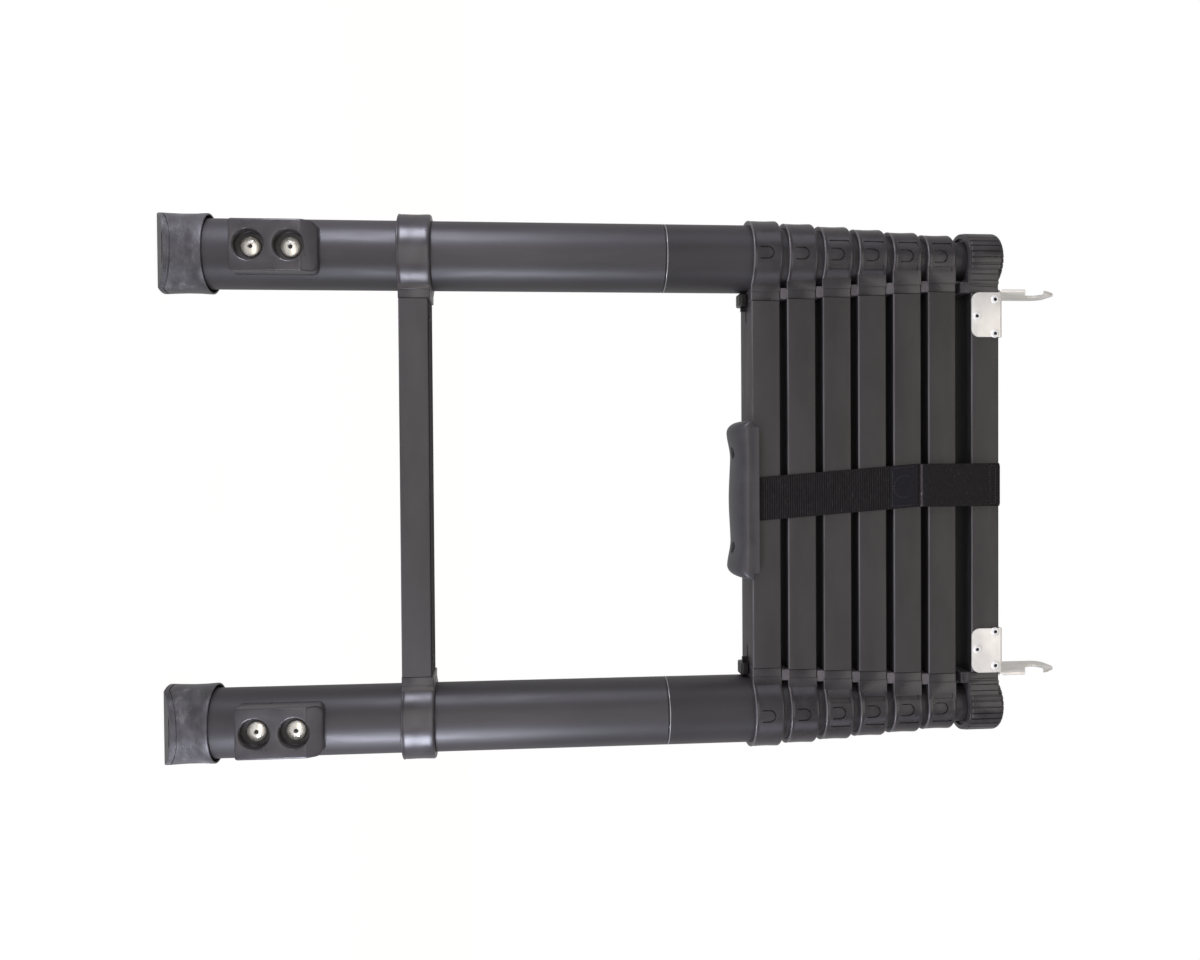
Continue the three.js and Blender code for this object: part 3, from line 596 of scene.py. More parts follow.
def coil(start, end, radius, wire, turns):
    """A closed-end compression spring as a tube swept round a helix between two points."""
    bm = bmesh.new()
    axis = Vector(end) - Vector(start)
    ring = bmesh.ops.create_circle(bm, cap_ends=False, segments=10, radius=wire * MM)
    upright = Matrix.Rotation(math.radians(90), 3, "X")
    bmesh.ops.rotate(bm, cent=(0, 0, 0), matrix=upright, verts=ring["verts"])
    bmesh.ops.translate(bm, vec=((radius - wire) * MM, 0, wire * MM), verts=ring["verts"])
    steps = int(turns * 24)
    rise = (axis.length - 2 * wire * MM) / steps
    geometry = ring["verts"] + list(bm.edges)
    bmesh.ops.contextual_create(bm, geom=list(bm.edges))
    bmesh.ops.spin(bm, geom=geometry, cent=(0, 0, 0), axis=(0, 0, 1), dvec=(0, 0, rise),
                   angle=2 * math.pi * turns, steps=steps, use_merge=False)
    bmesh.ops.holes_fill(bm, edges=bm.edges, sides=12)
    turn = axis.to_track_quat("Z", "Y").to_matrix()
    bmesh.ops.rotate(bm, cent=(0, 0, 0), matrix=turn, verts=bm.verts)
    bmesh.ops.translate(bm, vec=start, verts=bm.verts)
    bmesh.ops.recalc_face_normals(bm, faces=bm.faces)
    return bm


nickel_plate = turned_nickel()
# near black: painted shade for the buttons' lathe centres
painted_centre_shade = new_material("painted_centre_shade", (0.012, 0.011, 0.010), 0.6)[0]
bright_wire = spring_wire()
BUTTON_RADIUS = (button_high.x - button_low.x) / 2 / MM
BUTTON_APEX = (button_low.y - STILE.y) / MM
BUTTON_BACK = (button_high.y - STILE.y) / MM
BUTTON_WIRE = 0.55
BUTTON_SPRING_TURNS = 7
for level in ("lower", "upper"):
    low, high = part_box(f"lock_button_left_{level}")
    height = (low.z + high.z) / 2 / MM
    button_bm = turned([
        (0, BUTTON_BACK - 6), (5.5, BUTTON_BACK - 6), (5.5, BUTTON_BACK), (BUTTON_RADIUS - 0.3, BUTTON_BACK),
        (BUTTON_RADIUS, BUTTON_BACK - 0.3), (BUTTON_RADIUS, BUTTON_APEX + 2.4),
        (BUTTON_RADIUS - 0.15, BUTTON_APEX + 2.0),
        *[(share * (BUTTON_RADIUS - 0.5), BUTTON_APEX + 1.6 * share ** 2)
          for share in (1, 0.85, 0.7, 0.55, 0.4)],
        (2.1, BUTTON_APEX + 0.12), (1.85, BUTTON_APEX + 0.3), (1.6, BUTTON_APEX + 0.8),
        (1.5, BUTTON_APEX + 1.3), (1.45, BUTTON_APEX + 4), (0, BUTTON_APEX + 4.5),
    ], steps=64)
    # a near-black plug fills the lathe centre: painted shade for the dark of the hole
    centre_shade_bm = turned([(0, BUTTON_APEX + 4.4), (1.4, BUTTON_APEX + 3.9), (1.4, BUTTON_APEX + 1.1),
                        (0.7, BUTTON_APEX + 0.8), (0, BUTTON_APEX + 0.9)], steps=32)
    on_both_stiles(f"button_{{side}}_{level}_centre", across(centre_shade_bm, height), painted_centre_shade,
                   f"button_{{side}}_{level}", [])
    on_both_stiles(f"button_{{side}}_{level}_dome", across(button_bm, height), nickel_plate,
                   f"button_{{side}}_{level}", [f"lock_button_{{side}}_{level}"], sharp=28)
    low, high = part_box(f"button_spring_left_{level}")
    radius = (high.x - low.x) / 2 / MM
    for side in SIDES:
        axis_x = STILE.x if side == "left" else -STILE.x
        rear = (axis_x, high.y, height * MM)
        spring_bm = coil((axis_x, low.y, height * MM), rear, radius, BUTTON_WIRE, BUTTON_SPRING_TURNS)
        spring = stand(f"button_coil_{side}_{level}", spring_bm, bright_wire, "base",
                       [f"button_spring_{side}_{level}"])
        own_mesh(spring)


# ---- Rungs ----
# Hollow aluminium extrusions, anodised, with rounded long edges and anti-slip ribs on the tread.
# The lowest one is fixed, and the other seven lie close above one another when the ladder is shut.

def anodised_rung():
    """Satin anodised extrusion: slightly warm black, with lengthwise die lines and light rubs."""
    material, nodes, links, shader = new_material("anodised_rung", (0.040, 0.0375, 0.038), 0.45)
    clouds = pattern(nodes, links, "Noise", 30, (0.4, 1, 1), Detail=6.0)
    tint = [(0.35, (0.027, 0.0238, 0.0238)), (0.66, (0.039, 0.035, 0.035))]
    links.new(ramp(nodes, links, clouds.outputs["Fac"], tint), shader.inputs["Base Color"])
    rubs = pattern(nodes, links, "Noise", 130, (0.15, 1, 1), Detail=8.0, Roughness=0.7)
    gloss = ramp(nodes, links, rubs.outputs["Fac"], [(0.3, grey(0.40)), (0.72, grey(0.56))])
    links.new(gloss, shader.inputs["Roughness"])
    lines = pattern(nodes, links, "Noise", 1500, (0.004, 1, 1), Detail=2.0)
    add_bump(nodes, links, shader, [(lines.outputs["Fac"], 0.2, 0.03)])
    return material


def painted_gap_shade():
    """The same anodising painted much darker on the treads and undersides: painted shade for the gaps
    between the closed rungs.
    """
    material, nodes, links, shader = new_material("painted_gap_shade", (0.010, 0.009, 0.009), 0.7)
    shader.inputs["Specular IOR Level"].default_value = 0.2
    dust = pattern(nodes, links, "Noise", 160, (0.2, 1, 1), Detail=7.0, Roughness=0.65)
    shade = [(0.4, (0.007, 0.0062, 0.0064)), (0.7, (0.016, 0.0148, 0.015))]
    links.new(ramp(nodes, links, dust.outputs["Fac"], shade), shader.inputs["Base Color"])
    return material


def painted_edge_highlight():
    """The rung's long lower front edge, painted paler: a painted highlight where its rounding catches light.
    """
    material, nodes, links, shader = new_material("painted_edge_highlight", (0.085, 0.08, 0.082), 0.38)
    mottle = pattern(nodes, links, "Noise", 60, (0.15, 1, 1), Detail=6.0)
    shade = [(0.35, (0.05, 0.047, 0.048)), (0.7, (0.12, 0.114, 0.117))]
    links.new(ramp(nodes, links, mottle.outputs["Fac"], shade), shader.inputs["Base Color"])
    return material


RUNG_WALL = 1.6
RUNG_EDGE = 1.5                 # radius of the long edges
TREAD_RIBS = 7
TREAD_RIB_DEPTH = 0.7
satin_rung = anodised_rung()
# the second and third materials are painted shade and a painted highlight
rung_and_painted_light_materials = [satin_rung, painted_gap_shade(), painted_edge_highlight()]


def rung_outline(front, back, bottom, top):
    """The rung's section, with shallow anti-slip grooves in the tread."""
    r = RUNG_EDGE
    lower = arc(front + r, bottom + r, r, 180, 270, 5) + arc(back - r, bottom + r, r, 270, 360, 5)
    upper = arc(back - r, top - r, r, 0, 90, 5)
    pitch = (back - front - 6) / TREAD_RIBS
    for rib in range(TREAD_RIBS):
        left = back - 3 - pitch * (rib + 0.3)
        upper += [(left, top), (left - 0.3, top - TREAD_RIB_DEPTH),
                  (left - pitch * 0.4 + 0.3, top - TREAD_RIB_DEPTH), (left - pitch * 0.4, top)]
    return lower + upper + arc(front + r, top - r, r, 90, 180, 5)


def stand_rung(name, bm, body, node):
    """A rung in satin black, with painted shade on the tread and, where another rung hides it, on the
    underside, and a painted highlight on its long lower front edge.
    """
    for face in bm.faces:
        # treads and hidden undersides take the painted shade
        if face.normal.z > 0.7 or (face.normal.z < -0.9 and node not in ("lower_rung", "rung_1")):
            face.material_index = 1
        # faces of the long lower front edge take the painted highlight
        elif -0.9 < face.normal.z < -0.3 and face.normal.y < -0.3:
            face.material_index = 2
    stand(name, bm, rung_and_painted_light_materials, body, [node])


def rung_body(node):
    low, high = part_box(node)
    front, back, bottom, top = (value / MM for value in (low.y, high.y, low.z, high.z))
    bm = prism(rung_outline(front, back, bottom, top), low.x / MM, high.x / MM, along="x")
    hollow = block((low.x / MM - 1, high.x / MM + 1), (front + RUNG_WALL, back - RUNG_WALL),
                   (bottom + RUNG_WALL, top - RUNG_WALL))
    return combine(bm, hollow, "DIFFERENCE")


low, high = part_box("thumb_latch_left")
LATCH_Y = (low.y + high.y) / 2 / MM
latch_middle = LATCH_Y - STILE.y / MM       # the same, from the stile axis
LATCH_SLOT_X = 142
stand_rung("fixed_rung", rung_body("lower_rung"), "base", "lower_rung")
first_rung_bm = rung_body("rung_1")
rung_low, rung_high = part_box("rung_1")
for side in (-1, 1):
    ends = sorted((side * LATCH_SLOT_X, side * (rung_high.x / MM + 1)))
    window = block(ends, (LATCH_Y - 1.9, LATCH_Y + 1.9), (rung_low.z / MM - 1, rung_low.z / MM + 2))
    first_rung_bm = combine(first_rung_bm, window, "DIFFERENCE")
stand_rung("stacked_rung_1", first_rung_bm, "base", "rung_1")
for number in range(2, 7):
    stand_rung(f"stacked_rung_{number}", rung_body(f"rung_{number}"), f"section_{number}", f"rung_{number}")
stand_rung("stacked_rung_7", rung_body("top_rung"), "section_7", "top_rung")


# ---- Collars ----
# Moulded nylon rings that clamp each tube to its rung. Each has a flat arm out to the rung, a snap
# tongue in its front, a lower rim with a painted highlight, and a block below the arm that keeps the rungs
# apart.

ARM_FRONT = -21
ARM_BACK = 19
COLLAR_WALL = 3.8
COLLAR_HEIGHT = 25.5
GAP = 0.3
SPIGOT_LENGTH = 32
SPACER_LENGTH = 9.5
TONGUE_HALF = 5.5
TONGUE_HEIGHT = 11.8
TONGUE_LINE = 1.2
SHOULDER_REACH = 7.6            # the ring's shoulder ends this far before the rung
PAD_FROM = 3                    # collars from this one up have a sunk pad round the tongue
PAD_HALF = 12.6
PAD_BAND = 4.2
BORE_STEP = 20                  # the tube below stops at this height in its collar
CHANNEL_HALF = 3.3              # half the width of the latch stem's way through the first collar
CHANNEL_TO, CHANNEL_TOP = 66, 511
collar_nylon = moulded_nylon("collar_nylon")


def ring_profile(radius, bottom, height):
    """A solid disc with a chamfered lower rim, a faint waist and a rounded upper rim."""
    top = bottom + height
    return [
        (0, bottom), (radius - 1.6, bottom), *arc(radius - 0.85, bottom + 1.05, 1.05, -100, 30, 7),
        (radius - 0.25, bottom + 2.2), (radius - 0.1, bottom + 4), (radius - 0.3, bottom + height * 0.4),
        (radius - 0.3, bottom + height * 0.6), (radius - 0.05, bottom + height * 0.85),
        *arc(radius - 2.0, top - 2.0, 2.0, 5, 90, 7), (0, top),
    ]


def add_arm(bm, reach, bottom, top, rung_bottom, rung_top):
    """The flat arm out to the rung and the spigot that goes inside it."""
    arm = soften(block((6, reach), (ARM_FRONT, ARM_BACK), (bottom, top)), 0.7)
    bm = combine(bm, arm, "UNION")
    shoulder = block((6, reach - SHOULDER_REACH), (ARM_FRONT - 0.6, ARM_BACK + 0.6),
                     (bottom - 0.05, top + 0.2))
    bm = combine(bm, soften(shoulder, 0.5), "UNION")
    inset = RUNG_WALL + GAP
    spigot = block((reach - 1, reach + SPIGOT_LENGTH), (ARM_FRONT - 1 + inset, ARM_BACK + 1 - inset),
                   (rung_bottom + inset, rung_top - inset))
    return combine(bm, spigot, "UNION")


def add_spacer(bm, reach, low, high):
    spacer = block((reach - SPACER_LENGTH, reach), (ARM_FRONT + 0.6, ARM_BACK - 0.6), (low, high))
    return combine(bm, soften(spacer, 0.5), "UNION")


def cut_tongue(bm, radius, bottom):
    """The narrow U-shaped slit round the snap tongue, open end down."""
    low = bottom + 5.8
    high = low + TONGUE_HEIGHT - TONGUE_HALF
    inner = TONGUE_HALF - TONGUE_LINE
    outline = ([(-TONGUE_HALF, low)] + [(-inner, low)] + arc(0, high, inner, 180, 0, 16)
               + [(inner, low), (TONGUE_HALF, low)] + arc(0, high, TONGUE_HALF, 0, 180, 16))
    return combine(bm, prism(outline, -radius - 2, -radius + 2.4, along="y"), "DIFFERENCE")


def cut_pad(bm, radius, bottom):
    """Sinks a band above and below the tongue, so that the tongue stands on a raised pad."""
    for side in (-1, 1):
        near, far = side * (PAD_HALF - PAD_BAND), side * PAD_HALF
        sunk = block(sorted((near, far)), (-radius - 2, 0), (bottom + 4.6, bottom + COLLAR_HEIGHT - 3.4))
        keep = turned([(0, bottom), (radius - 1.0, bottom), (radius - 1.0, bottom + 30), (0, bottom + 30)])
        keep = combine(keep, block((0, 30), (ARM_FRONT + 0.1, 0), (bottom, bottom + 30)), "UNION")
        bm = combine(bm, combine(sunk, keep, "DIFFERENCE"), "DIFFERENCE")
    return bm


def collar_body(number):
    low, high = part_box(f"collar_{number}_left")
    radius = tube_radius(number) + COLLAR_WALL
    reach = (high.x - STILE.x) / MM - SPIGOT_LENGTH
    top = high.z / MM
    bottom = top - COLLAR_HEIGHT
    rung_low, rung_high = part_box(f"rung_{number}")
    bm = turned(ring_profile(radius, bottom, COLLAR_HEIGHT))
    bm = add_arm(bm, reach, bottom, top - 0.3, rung_low.z / MM, rung_high.z / MM)
    if number > 1:
        bm = add_spacer(bm, reach, low.z / MM, bottom + 1)
    socket = tube_radius(number) + GAP
    guide = tube_radius(number + 1) + GAP
    step = bottom + BORE_STEP + GAP
    bore = turned([(0, bottom - 1), (socket, bottom - 1), (socket, step), (guide, step), (guide, top + 1),
                   (0, top + 1)])
    bm = combine(bm, bore, "DIFFERENCE")
    if number == 1:
        channel = block((reach, CHANNEL_TO), (latch_middle - CHANNEL_HALF, latch_middle + CHANNEL_HALF),
                        (bottom, CHANNEL_TOP))
        bm = combine(bm, channel, "DIFFERENCE")
    if number >= PAD_FROM:
        bm = cut_pad(bm, radius, bottom)
    return cut_tongue(bm, radius, bottom)


def paint_rim_highlight(bm, bottom, radius):
    """Gives the bead round a ring's lower rim the second material, a paler nylon: a painted highlight."""
    for face in bm.faces:
        middle = face.calc_center_median()
        from_axis = math.hypot(middle.x, middle.y) / MM
        if -0.97 < face.normal.z < 0.2 and middle.z < (bottom + 1.5) * MM and from_axis > radius - 2.2:
            face.material_index = 1
    return bm


# paler nylon: a painted highlight on each collar's lower rim bead
rim_painted_highlight = moulded_nylon("rim_painted_highlight", 2.6)
for number in range(1, 7):
    body = "base" if number == 1 else f"section_{number}"
    rim_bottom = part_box(f"collar_{number}_left")[1].z / MM - COLLAR_HEIGHT
    ring_bm = paint_rim_highlight(collar_body(number), rim_bottom, tube_radius(number) + COLLAR_WALL)
    on_both_stiles(f"collar_ring_{number}_{{side}}", ring_bm, [collar_nylon, rim_painted_highlight], body,
                   [f"collar_{number}_{{side}}"])


# ---- Band collars ----
# Plain wide bands of the same nylon that hold the fixed lower rung to both outer tubes. Each is
# moulded in one with a flat arm, and the arm's spigot goes inside the rung.

low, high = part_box("band_collar_left")
rung_low, rung_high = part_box("lower_rung")
band_radius = (high.y - low.y) / 2 / MM
band_reach = (high.x - STILE.x) / MM - SPIGOT_LENGTH
band_bottom, band_top = low.z / MM, high.z / MM
band_bm = turned(ring_profile(band_radius, band_bottom, band_top - band_bottom))
band_bm = add_arm(band_bm, band_reach, band_bottom, band_top - 0.8, rung_low.z / MM, rung_high.z / MM)
band_bore = turned([(0, band_bottom - 5), (TUBE_RADIUS + GAP, band_bottom - 5),
                    (TUBE_RADIUS + GAP, band_top + 5), (0, band_top + 5)])
on_both_stiles("band_ring_{side}", combine(band_bm, band_bore, "DIFFERENCE"), collar_nylon, "base",
               ["band_collar_{side}"])


# ---- End caps ----
# Nylon caps that close the top of each stile and hold the top rung, ribbed round the outside for
# grip. The lower rim is open, and the smallest tube stands in it.

CAP_RADIUS = 24.6
CAP_HEIGHT = 32.4
CAP_RIBS = 28
CAP_GROOVE = 1.0
CAP_RIM = 2.6                        # the grooves stop this far above the lower edge
ARM_GROOVES = (14.6, 20.0, 25.4)     # from the stile axis
low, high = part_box("end_cap_left")
cap_reach = (high.x - STILE.x) / MM - SPIGOT_LENGTH
cap_top = high.z / MM
cap_bottom = cap_top - CAP_HEIGHT
rung_low, rung_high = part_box("top_rung")
cap_bm = turned([
    (0, cap_bottom), (CAP_RADIUS - 1.6, cap_bottom), (CAP_RADIUS - 0.5, cap_bottom + 0.4),
    (CAP_RADIUS - 0.3, cap_bottom + 1.5), (CAP_RADIUS - 0.7, cap_bottom + 2.4),
    (CAP_RADIUS - 0.1, cap_bottom + 3.2), (CAP_RADIUS, cap_bottom + 4), (CAP_RADIUS, cap_bottom + 14),
    (CAP_RADIUS, cap_top - 6), *arc(CAP_RADIUS - 4.5, cap_top - 4.5, 4.5, 0, 90, 8), (0, cap_top),
], steps=CAP_RIBS * 12)
for vert in cap_bm.verts:
    around = math.degrees(math.atan2(vert.co.y, vert.co.x)) % (360 / CAP_RIBS)
    reach = math.hypot(vert.co.x, vert.co.y)
    above_rim = vert.co.z > (cap_bottom + CAP_RIM) * MM
    if reach > (CAP_RADIUS - 4) * MM and above_rim and around < 2.2:
        depth = CAP_GROOVE * MM
        vert.co.x -= vert.co.x / reach * depth
        vert.co.y -= vert.co.y / reach * depth
cap_bm = add_arm(cap_bm, cap_reach, cap_bottom, rung_high.z / MM, rung_low.z / MM, rung_high.z / MM)
for along in ARM_GROOVES:
    for face in (ARM_FRONT, ARM_BACK):
        groove = block((along - 0.45, along + 0.45), (face - CAP_GROOVE, face + CAP_GROOVE),
                       (cap_bottom + CAP_RIM, cap_top))
        cap_bm = combine(cap_bm, groove, "DIFFERENCE")
cap_bm = add_spacer(cap_bm, cap_reach, low.z / MM, cap_bottom + 1)
cap_mouth, cap_socket = tube_radius(7) + 3.5, tube_radius(7) + GAP
cap_bore = turned([
    (0, cap_bottom - 1), (cap_mouth, cap_bottom - 1), (cap_mouth, cap_bottom + 2.5),
    (cap_socket, cap_bottom + 3.5), (cap_socket, cap_bottom + 22), (0, cap_bottom + 22),
])
cap_nylon = moulded_nylon("cap_nylon", 1.1)
on_both_stiles("cap_ribbed_{side}", combine(cap_bm, cap_bore, "DIFFERENCE"), cap_nylon,
               "section_7", ["end_cap_{side}"])


# ---- Release latches ----
# A thumb knob under each end of the first rung; sliding both towards the middle lets the rungs
# down one after another. The stem works against a light coil spring inside the rung.

low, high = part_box("thumb_latch_left")
KNOB_FROM = (low.x - STILE.x) / MM
KNOB_TO = 42
KNOB_HALF = 8
KNOB_GROOVES = 4
KNOB_GROOVE_PITCH = 2.2
STEM_FROM, STEM_TO = KNOB_TO - 1, (high.x - STILE.x) / MM
first_rung_low, first_rung_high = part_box("rung_1")
knob_top = first_rung_low.z / MM - GAP
knob_bottom, stem_top = low.z / MM, high.z / MM
knob_bm = block((KNOB_FROM, KNOB_TO), (latch_middle - KNOB_HALF, latch_middle + KNOB_HALF),
                (knob_bottom, knob_top))
soften(knob_bm, 1.6, 4)
for groove in range(1, KNOB_GROOVES + 1):
    along = KNOB_FROM + KNOB_GROOVE_PITCH * groove
    thumb_groove = block((along - 0.45, along + 0.45), (latch_middle - 6, latch_middle + 6),
                         (knob_bottom - 1, knob_bottom + 0.7))
    knob_bm = combine(knob_bm, thumb_groove, "DIFFERENCE")
neck = block((STEM_FROM, STEM_TO), (latch_middle - 1.6, latch_middle + 1.6),
             (knob_bottom + 2.5, stem_top - 8))
knob_bm = combine(knob_bm, neck, "UNION")
stem = block((STEM_FROM, STEM_TO), (latch_middle - 3, latch_middle + 3), (stem_top - 9, stem_top))
knob_bm = combine(knob_bm, soften(stem, 0.4), "UNION")
knob_nylon = moulded_nylon("knob_nylon", 0.15)
on_both_stiles("latch_knob_{side}", knob_bm, knob_nylon, "latch_{side}",
               ["thumb_latch_{side}"])
LATCH_SPRING_RADIUS = 2.2
LATCH_WIRE = 0.3
LATCH_SPRING_TURNS = 9
for side in SIDES:
    low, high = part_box(f"latch_spring_{side}")
    middle_y, middle_z = (low.y + high.y) / 2, (low.z + high.z) / 2
    start, end = (high.x, low.x) if side == "right" else (low.x, high.x)
    far_end = (end, middle_y, middle_z)
    latch_spring_bm = coil((start, middle_y, middle_z), far_end, LATCH_SPRING_RADIUS, LATCH_WIRE,
                           LATCH_SPRING_TURNS)
    spring = stand(f"latch_coil_{side}", latch_spring_bm, bright_wire, "base",
                   [f"latch_spring_{side}"])
    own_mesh(spring)


# ---- Handle ----
# A moulded grip that wraps the front, underside and back of the first rung and is held by two
# screws from below. Its ends flare and its middle swells to fill the hand.

def grip_plastic():
    """Charcoal grip moulding: a fine spark-eroded grain with a soft bluish sheen."""
    material, nodes, links, shader = new_material("grip_plastic", (0.026, 0.026, 0.029), 0.32)
    clouds = pattern(nodes, links, "Noise", 45, Detail=5.0)
    tint = [(0.35, (0.037, 0.035, 0.038)), (0.66, (0.052, 0.050, 0.053))]
    links.new(ramp(nodes, links, clouds.outputs["Fac"], tint), shader.inputs["Base Color"])
    gloss = ramp(nodes, links, clouds.outputs["Fac"], [(0.3, grey(0.36)), (0.7, grey(0.48))])
    links.new(gloss, shader.inputs["Roughness"])
    grain = pattern(nodes, links, "Voronoi", 1500)
    fine = pattern(nodes, links, "Noise", 3600, Detail=2.0)
    bumps = [(grain.outputs["Distance"], 0.22, 0.06), (fine.outputs["Fac"], 0.15, 0.02)]
    add_bump(nodes, links, shader, bumps)
    return material


low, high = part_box("handle")
handle_middle = (low.x + high.x) / 2 / MM
handle_half = (high.x - low.x) / 2 / MM
HANDLE_WAIST = 3.7          # how far the waist and the belly stand above the flared ends
HANDLE_BELLY = 1.9
HANDLE_END_RADIUS = 10.0
HANDLE_SHOULDER = 493.0     # the lips are upright above this and round below it
LIP_INSET = 5.6             # the lips stop this far before the rounded ends
HANDLE_STATIONS = 96
handle_front, handle_back = low.y / MM, high.y / MM
handle_bottom, handle_top = low.z / MM, high.z / MM
rung_front, rung_back = first_rung_low.y / MM, first_rung_high.y / MM
rung_bottom = first_rung_low.z / MM


def smooth(value):
    value = min(1.0, max(0.0, value))
    return value * value * (3 - 2 * value)


def grip_lift(offset):
    """How far the underside stands above the flared ends, at a distance from the middle."""
    far = abs(offset)
    waist = smooth((handle_half - 9 - far) / 24)
    belly = smooth((44 - far) / 44)
    return HANDLE_WAIST * waist - (HANDLE_WAIST - HANDLE_BELLY) * belly


def grip_section(offset):
    """The section at a distance from the middle: two upright lips over a round grip."""
    from_end = handle_half - abs(offset)
    rounding = max(0.0, HANDLE_END_RADIUS - from_end) / HANDLE_END_RADIUS
    fullness = math.sqrt(max(0.0, 1 - rounding ** 2))
    front = handle_front + 2.4 * (1 - fullness)
    back = handle_back - 2.4 * (1 - fullness)
    seat = rung_bottom - GAP
    bottom = seat - 2.2 + (handle_bottom + grip_lift(offset) - seat + 2.2) * fullness
    shoulder = seat + 0.2 + (HANDLE_SHOULDER - seat - 0.2) * fullness
    lip = smooth((from_end - LIP_INSET + 0.6) / 1.2)
    top = seat + 0.6 + (handle_top - seat - 0.6) * lip
    middle, half = (front + back) / 2, (back - front) / 2
    depth = shoulder - bottom
    grip = [(middle + half * math.cos(math.radians(a)), shoulder + depth * math.sin(math.radians(a)))
            for a in range(180, 361, 6)]
    edge = 0.5 * lip + 0.1
    return ([(front + edge, top), (front + edge * 0.3, top - edge * 0.3), (front, top - edge)] + grip
            + [(back, top - edge), (back - edge * 0.3, top - edge * 0.3), (back - edge, top),
               (rung_back + GAP + 0.3, top), (rung_back + GAP, top - 0.3),
               (rung_back + GAP, seat), (rung_front - GAP, seat),
               (rung_front - GAP, top - 0.3), (rung_front - GAP - 0.3, top)])


handle_bm = bmesh.new()
loops = []
for station in range(HANDLE_STATIONS + 1):
    share = -math.cos(math.pi * station / HANDLE_STATIONS)     # closer together at the ends
    offset = share * (handle_half - 0.02)
    points = [handle_bm.verts.new(((handle_middle + offset) * MM, y * MM, z * MM))
              for y, z in grip_section(offset)]
    loops.append([handle_bm.edges.new((a, b)) for a, b in zip(points, points[1:] + points[:1])])
for before, after in zip(loops, loops[1:]):
    bmesh.ops.bridge_loops(handle_bm, edges=before + after)
bmesh.ops.edgeloop_fill(handle_bm, edges=loops[0])
bmesh.ops.edgeloop_fill(handle_bm, edges=loops[-1])
bmesh.ops.recalc_face_normals(handle_bm, faces=handle_bm.faces)
STRAP_LOW_X = 12.4          # the strap's middle where it goes into the handle
POCKET_HALF = 19.5
pocket_bm = block((STRAP_LOW_X - POCKET_HALF, STRAP_LOW_X + POCKET_HALF),
                  (handle_front + 2, handle_back - 2), (rung_bottom - GAP, handle_top + 1))
handle_bm = combine(handle_bm, pocket_bm, "DIFFERENCE")
SCREW_PLACES = (-28.0, 55.0)
SCREW_Y = -5.0
PIT_RADIUS = 5.2
pit_top = handle_bottom + 10
for place in SCREW_PLACES:
    pit = turned([(0, handle_bottom - 10), (PIT_RADIUS, handle_bottom - 10), (PIT_RADIUS - 0.2, pit_top),
                  (0, pit_top)], steps=48)
    bmesh.ops.translate(pit, vec=(place * MM, SCREW_Y * MM + STILE.y, 0), verts=pit.verts)
    handle_bm = combine(handle_bm, pit, "DIFFERENCE")
stand("carry_handle", handle_bm, grip_plastic(), "base", ["handle"], sharp=38)


# ---- Screws ----
# Pan-head steel screws with a cross recess, blacked: two up into the handle and one down into each
# end of the fixed rung.

def blacked_steel():
    """Oil-blacked screw steel, mottled with paler worn patches."""
    material, nodes, links, shader = new_material("blacked_steel", (0.06, 0.06, 0.062), 0.38, 0.8)
    mottle = pattern(nodes, links, "Noise", 700, Detail=5.0)
    tint = [(0.45, (0.035, 0.035, 0.037)), (0.72, (0.16, 0.155, 0.15))]
    links.new(ramp(nodes, links, mottle.outputs["Fac"], tint), shader.inputs["Base Color"])
    add_bump(nodes, links, shader, [(mottle.outputs["Fac"], 0.1, 0.04)])
    return material


def pan_head(radius, height, shank=2.0, depth=6.0):
    """A domed screw head standing on z = 0 with a cross recess, and its shank below."""
    dome = [(radius * math.cos(math.radians(a)), height * math.sin(math.radians(a)))
            for a in range(0, 90, 12)]
    bm = turned([(0, -depth), (shank, -depth), (shank, 0), (radius - 0.1, 0), *dome[1:], (0, height)],
                steps=40)
    long, wide = radius * 0.55, radius * 0.13
    for x, y in ((long, wide), (wide, long)):
        bm = combine(bm, block((-x, x), (-y, y), (height * 0.45, height + 1)), "DIFFERENCE")
    return bm


RUNG_SCREW_X, RUNG_SCREW_Y = 144.5, -12       # from the ladder's middle and the stile axis
screw_steel = blacked_steel()
for index, place in enumerate(SCREW_PLACES):
    screw = pan_head(3.8, 1.6, depth=4)
    bmesh.ops.rotate(screw, cent=(0, 0, 0), matrix=Matrix.Rotation(math.pi, 3, "X"), verts=screw.verts)
    seat = (place * MM, SCREW_Y * MM + STILE.y, (pit_top - 0.1) * MM)
    bmesh.ops.translate(screw, vec=seat, verts=screw.verts)
    stand(f"handle_screw_{index + 1}", screw, screw_steel, "base", [])
fixed_rung_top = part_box("lower_rung")[1].z
for side, direction in (("left", -1), ("right", 1)):
    screw = pan_head(3.6, 1.8)
    seat = (direction * RUNG_SCREW_X * MM, STILE.y + RUNG_SCREW_Y * MM, fixed_rung_top - 0.5 * MM)
    bmesh.ops.translate(screw, vec=seat, verts=screw.verts)
    stand(f"rung_screw_{side}", screw, screw_steel, "base", [])


# ---- Hook brackets ----
# Zinc-plated sheet steel, pressed and bent: a plate on the face of the top rung, a flange over its
# top and an upright ear with a slanting hook slot. Three blind rivets hold each plate.

def zinc_plate():
    """Clear zinc plate: pale and satiny, with a faint cloudy spangle and handling marks."""
    material, nodes, links, shader = new_material("zinc_plate", (0.84, 0.82, 0.77), 0.38, 0.35)
    clouds = pattern(nodes, links, "Noise", 75, Detail=5.0)
    tint = [(0.35, (0.84, 0.815, 0.76)), (0.68, (0.95, 0.925, 0.875))]
    links.new(ramp(nodes, links, clouds.outputs["Fac"], tint), shader.inputs["Base Color"])
    spangle = pattern(nodes, links, "Voronoi", 320)
    gloss = ramp(nodes, links, spangle.outputs["Distance"], [(0.1, grey(0.34)), (0.8, grey(0.46))])
    links.new(gloss, shader.inputs["Roughness"])
    rolled = pattern(nodes, links, "Noise", 700, (1, 1, 0.05), Detail=3.0)
    add_bump(nodes, links, shader, [(rolled.outputs["Fac"], 0.12, 0.04)])
    return material


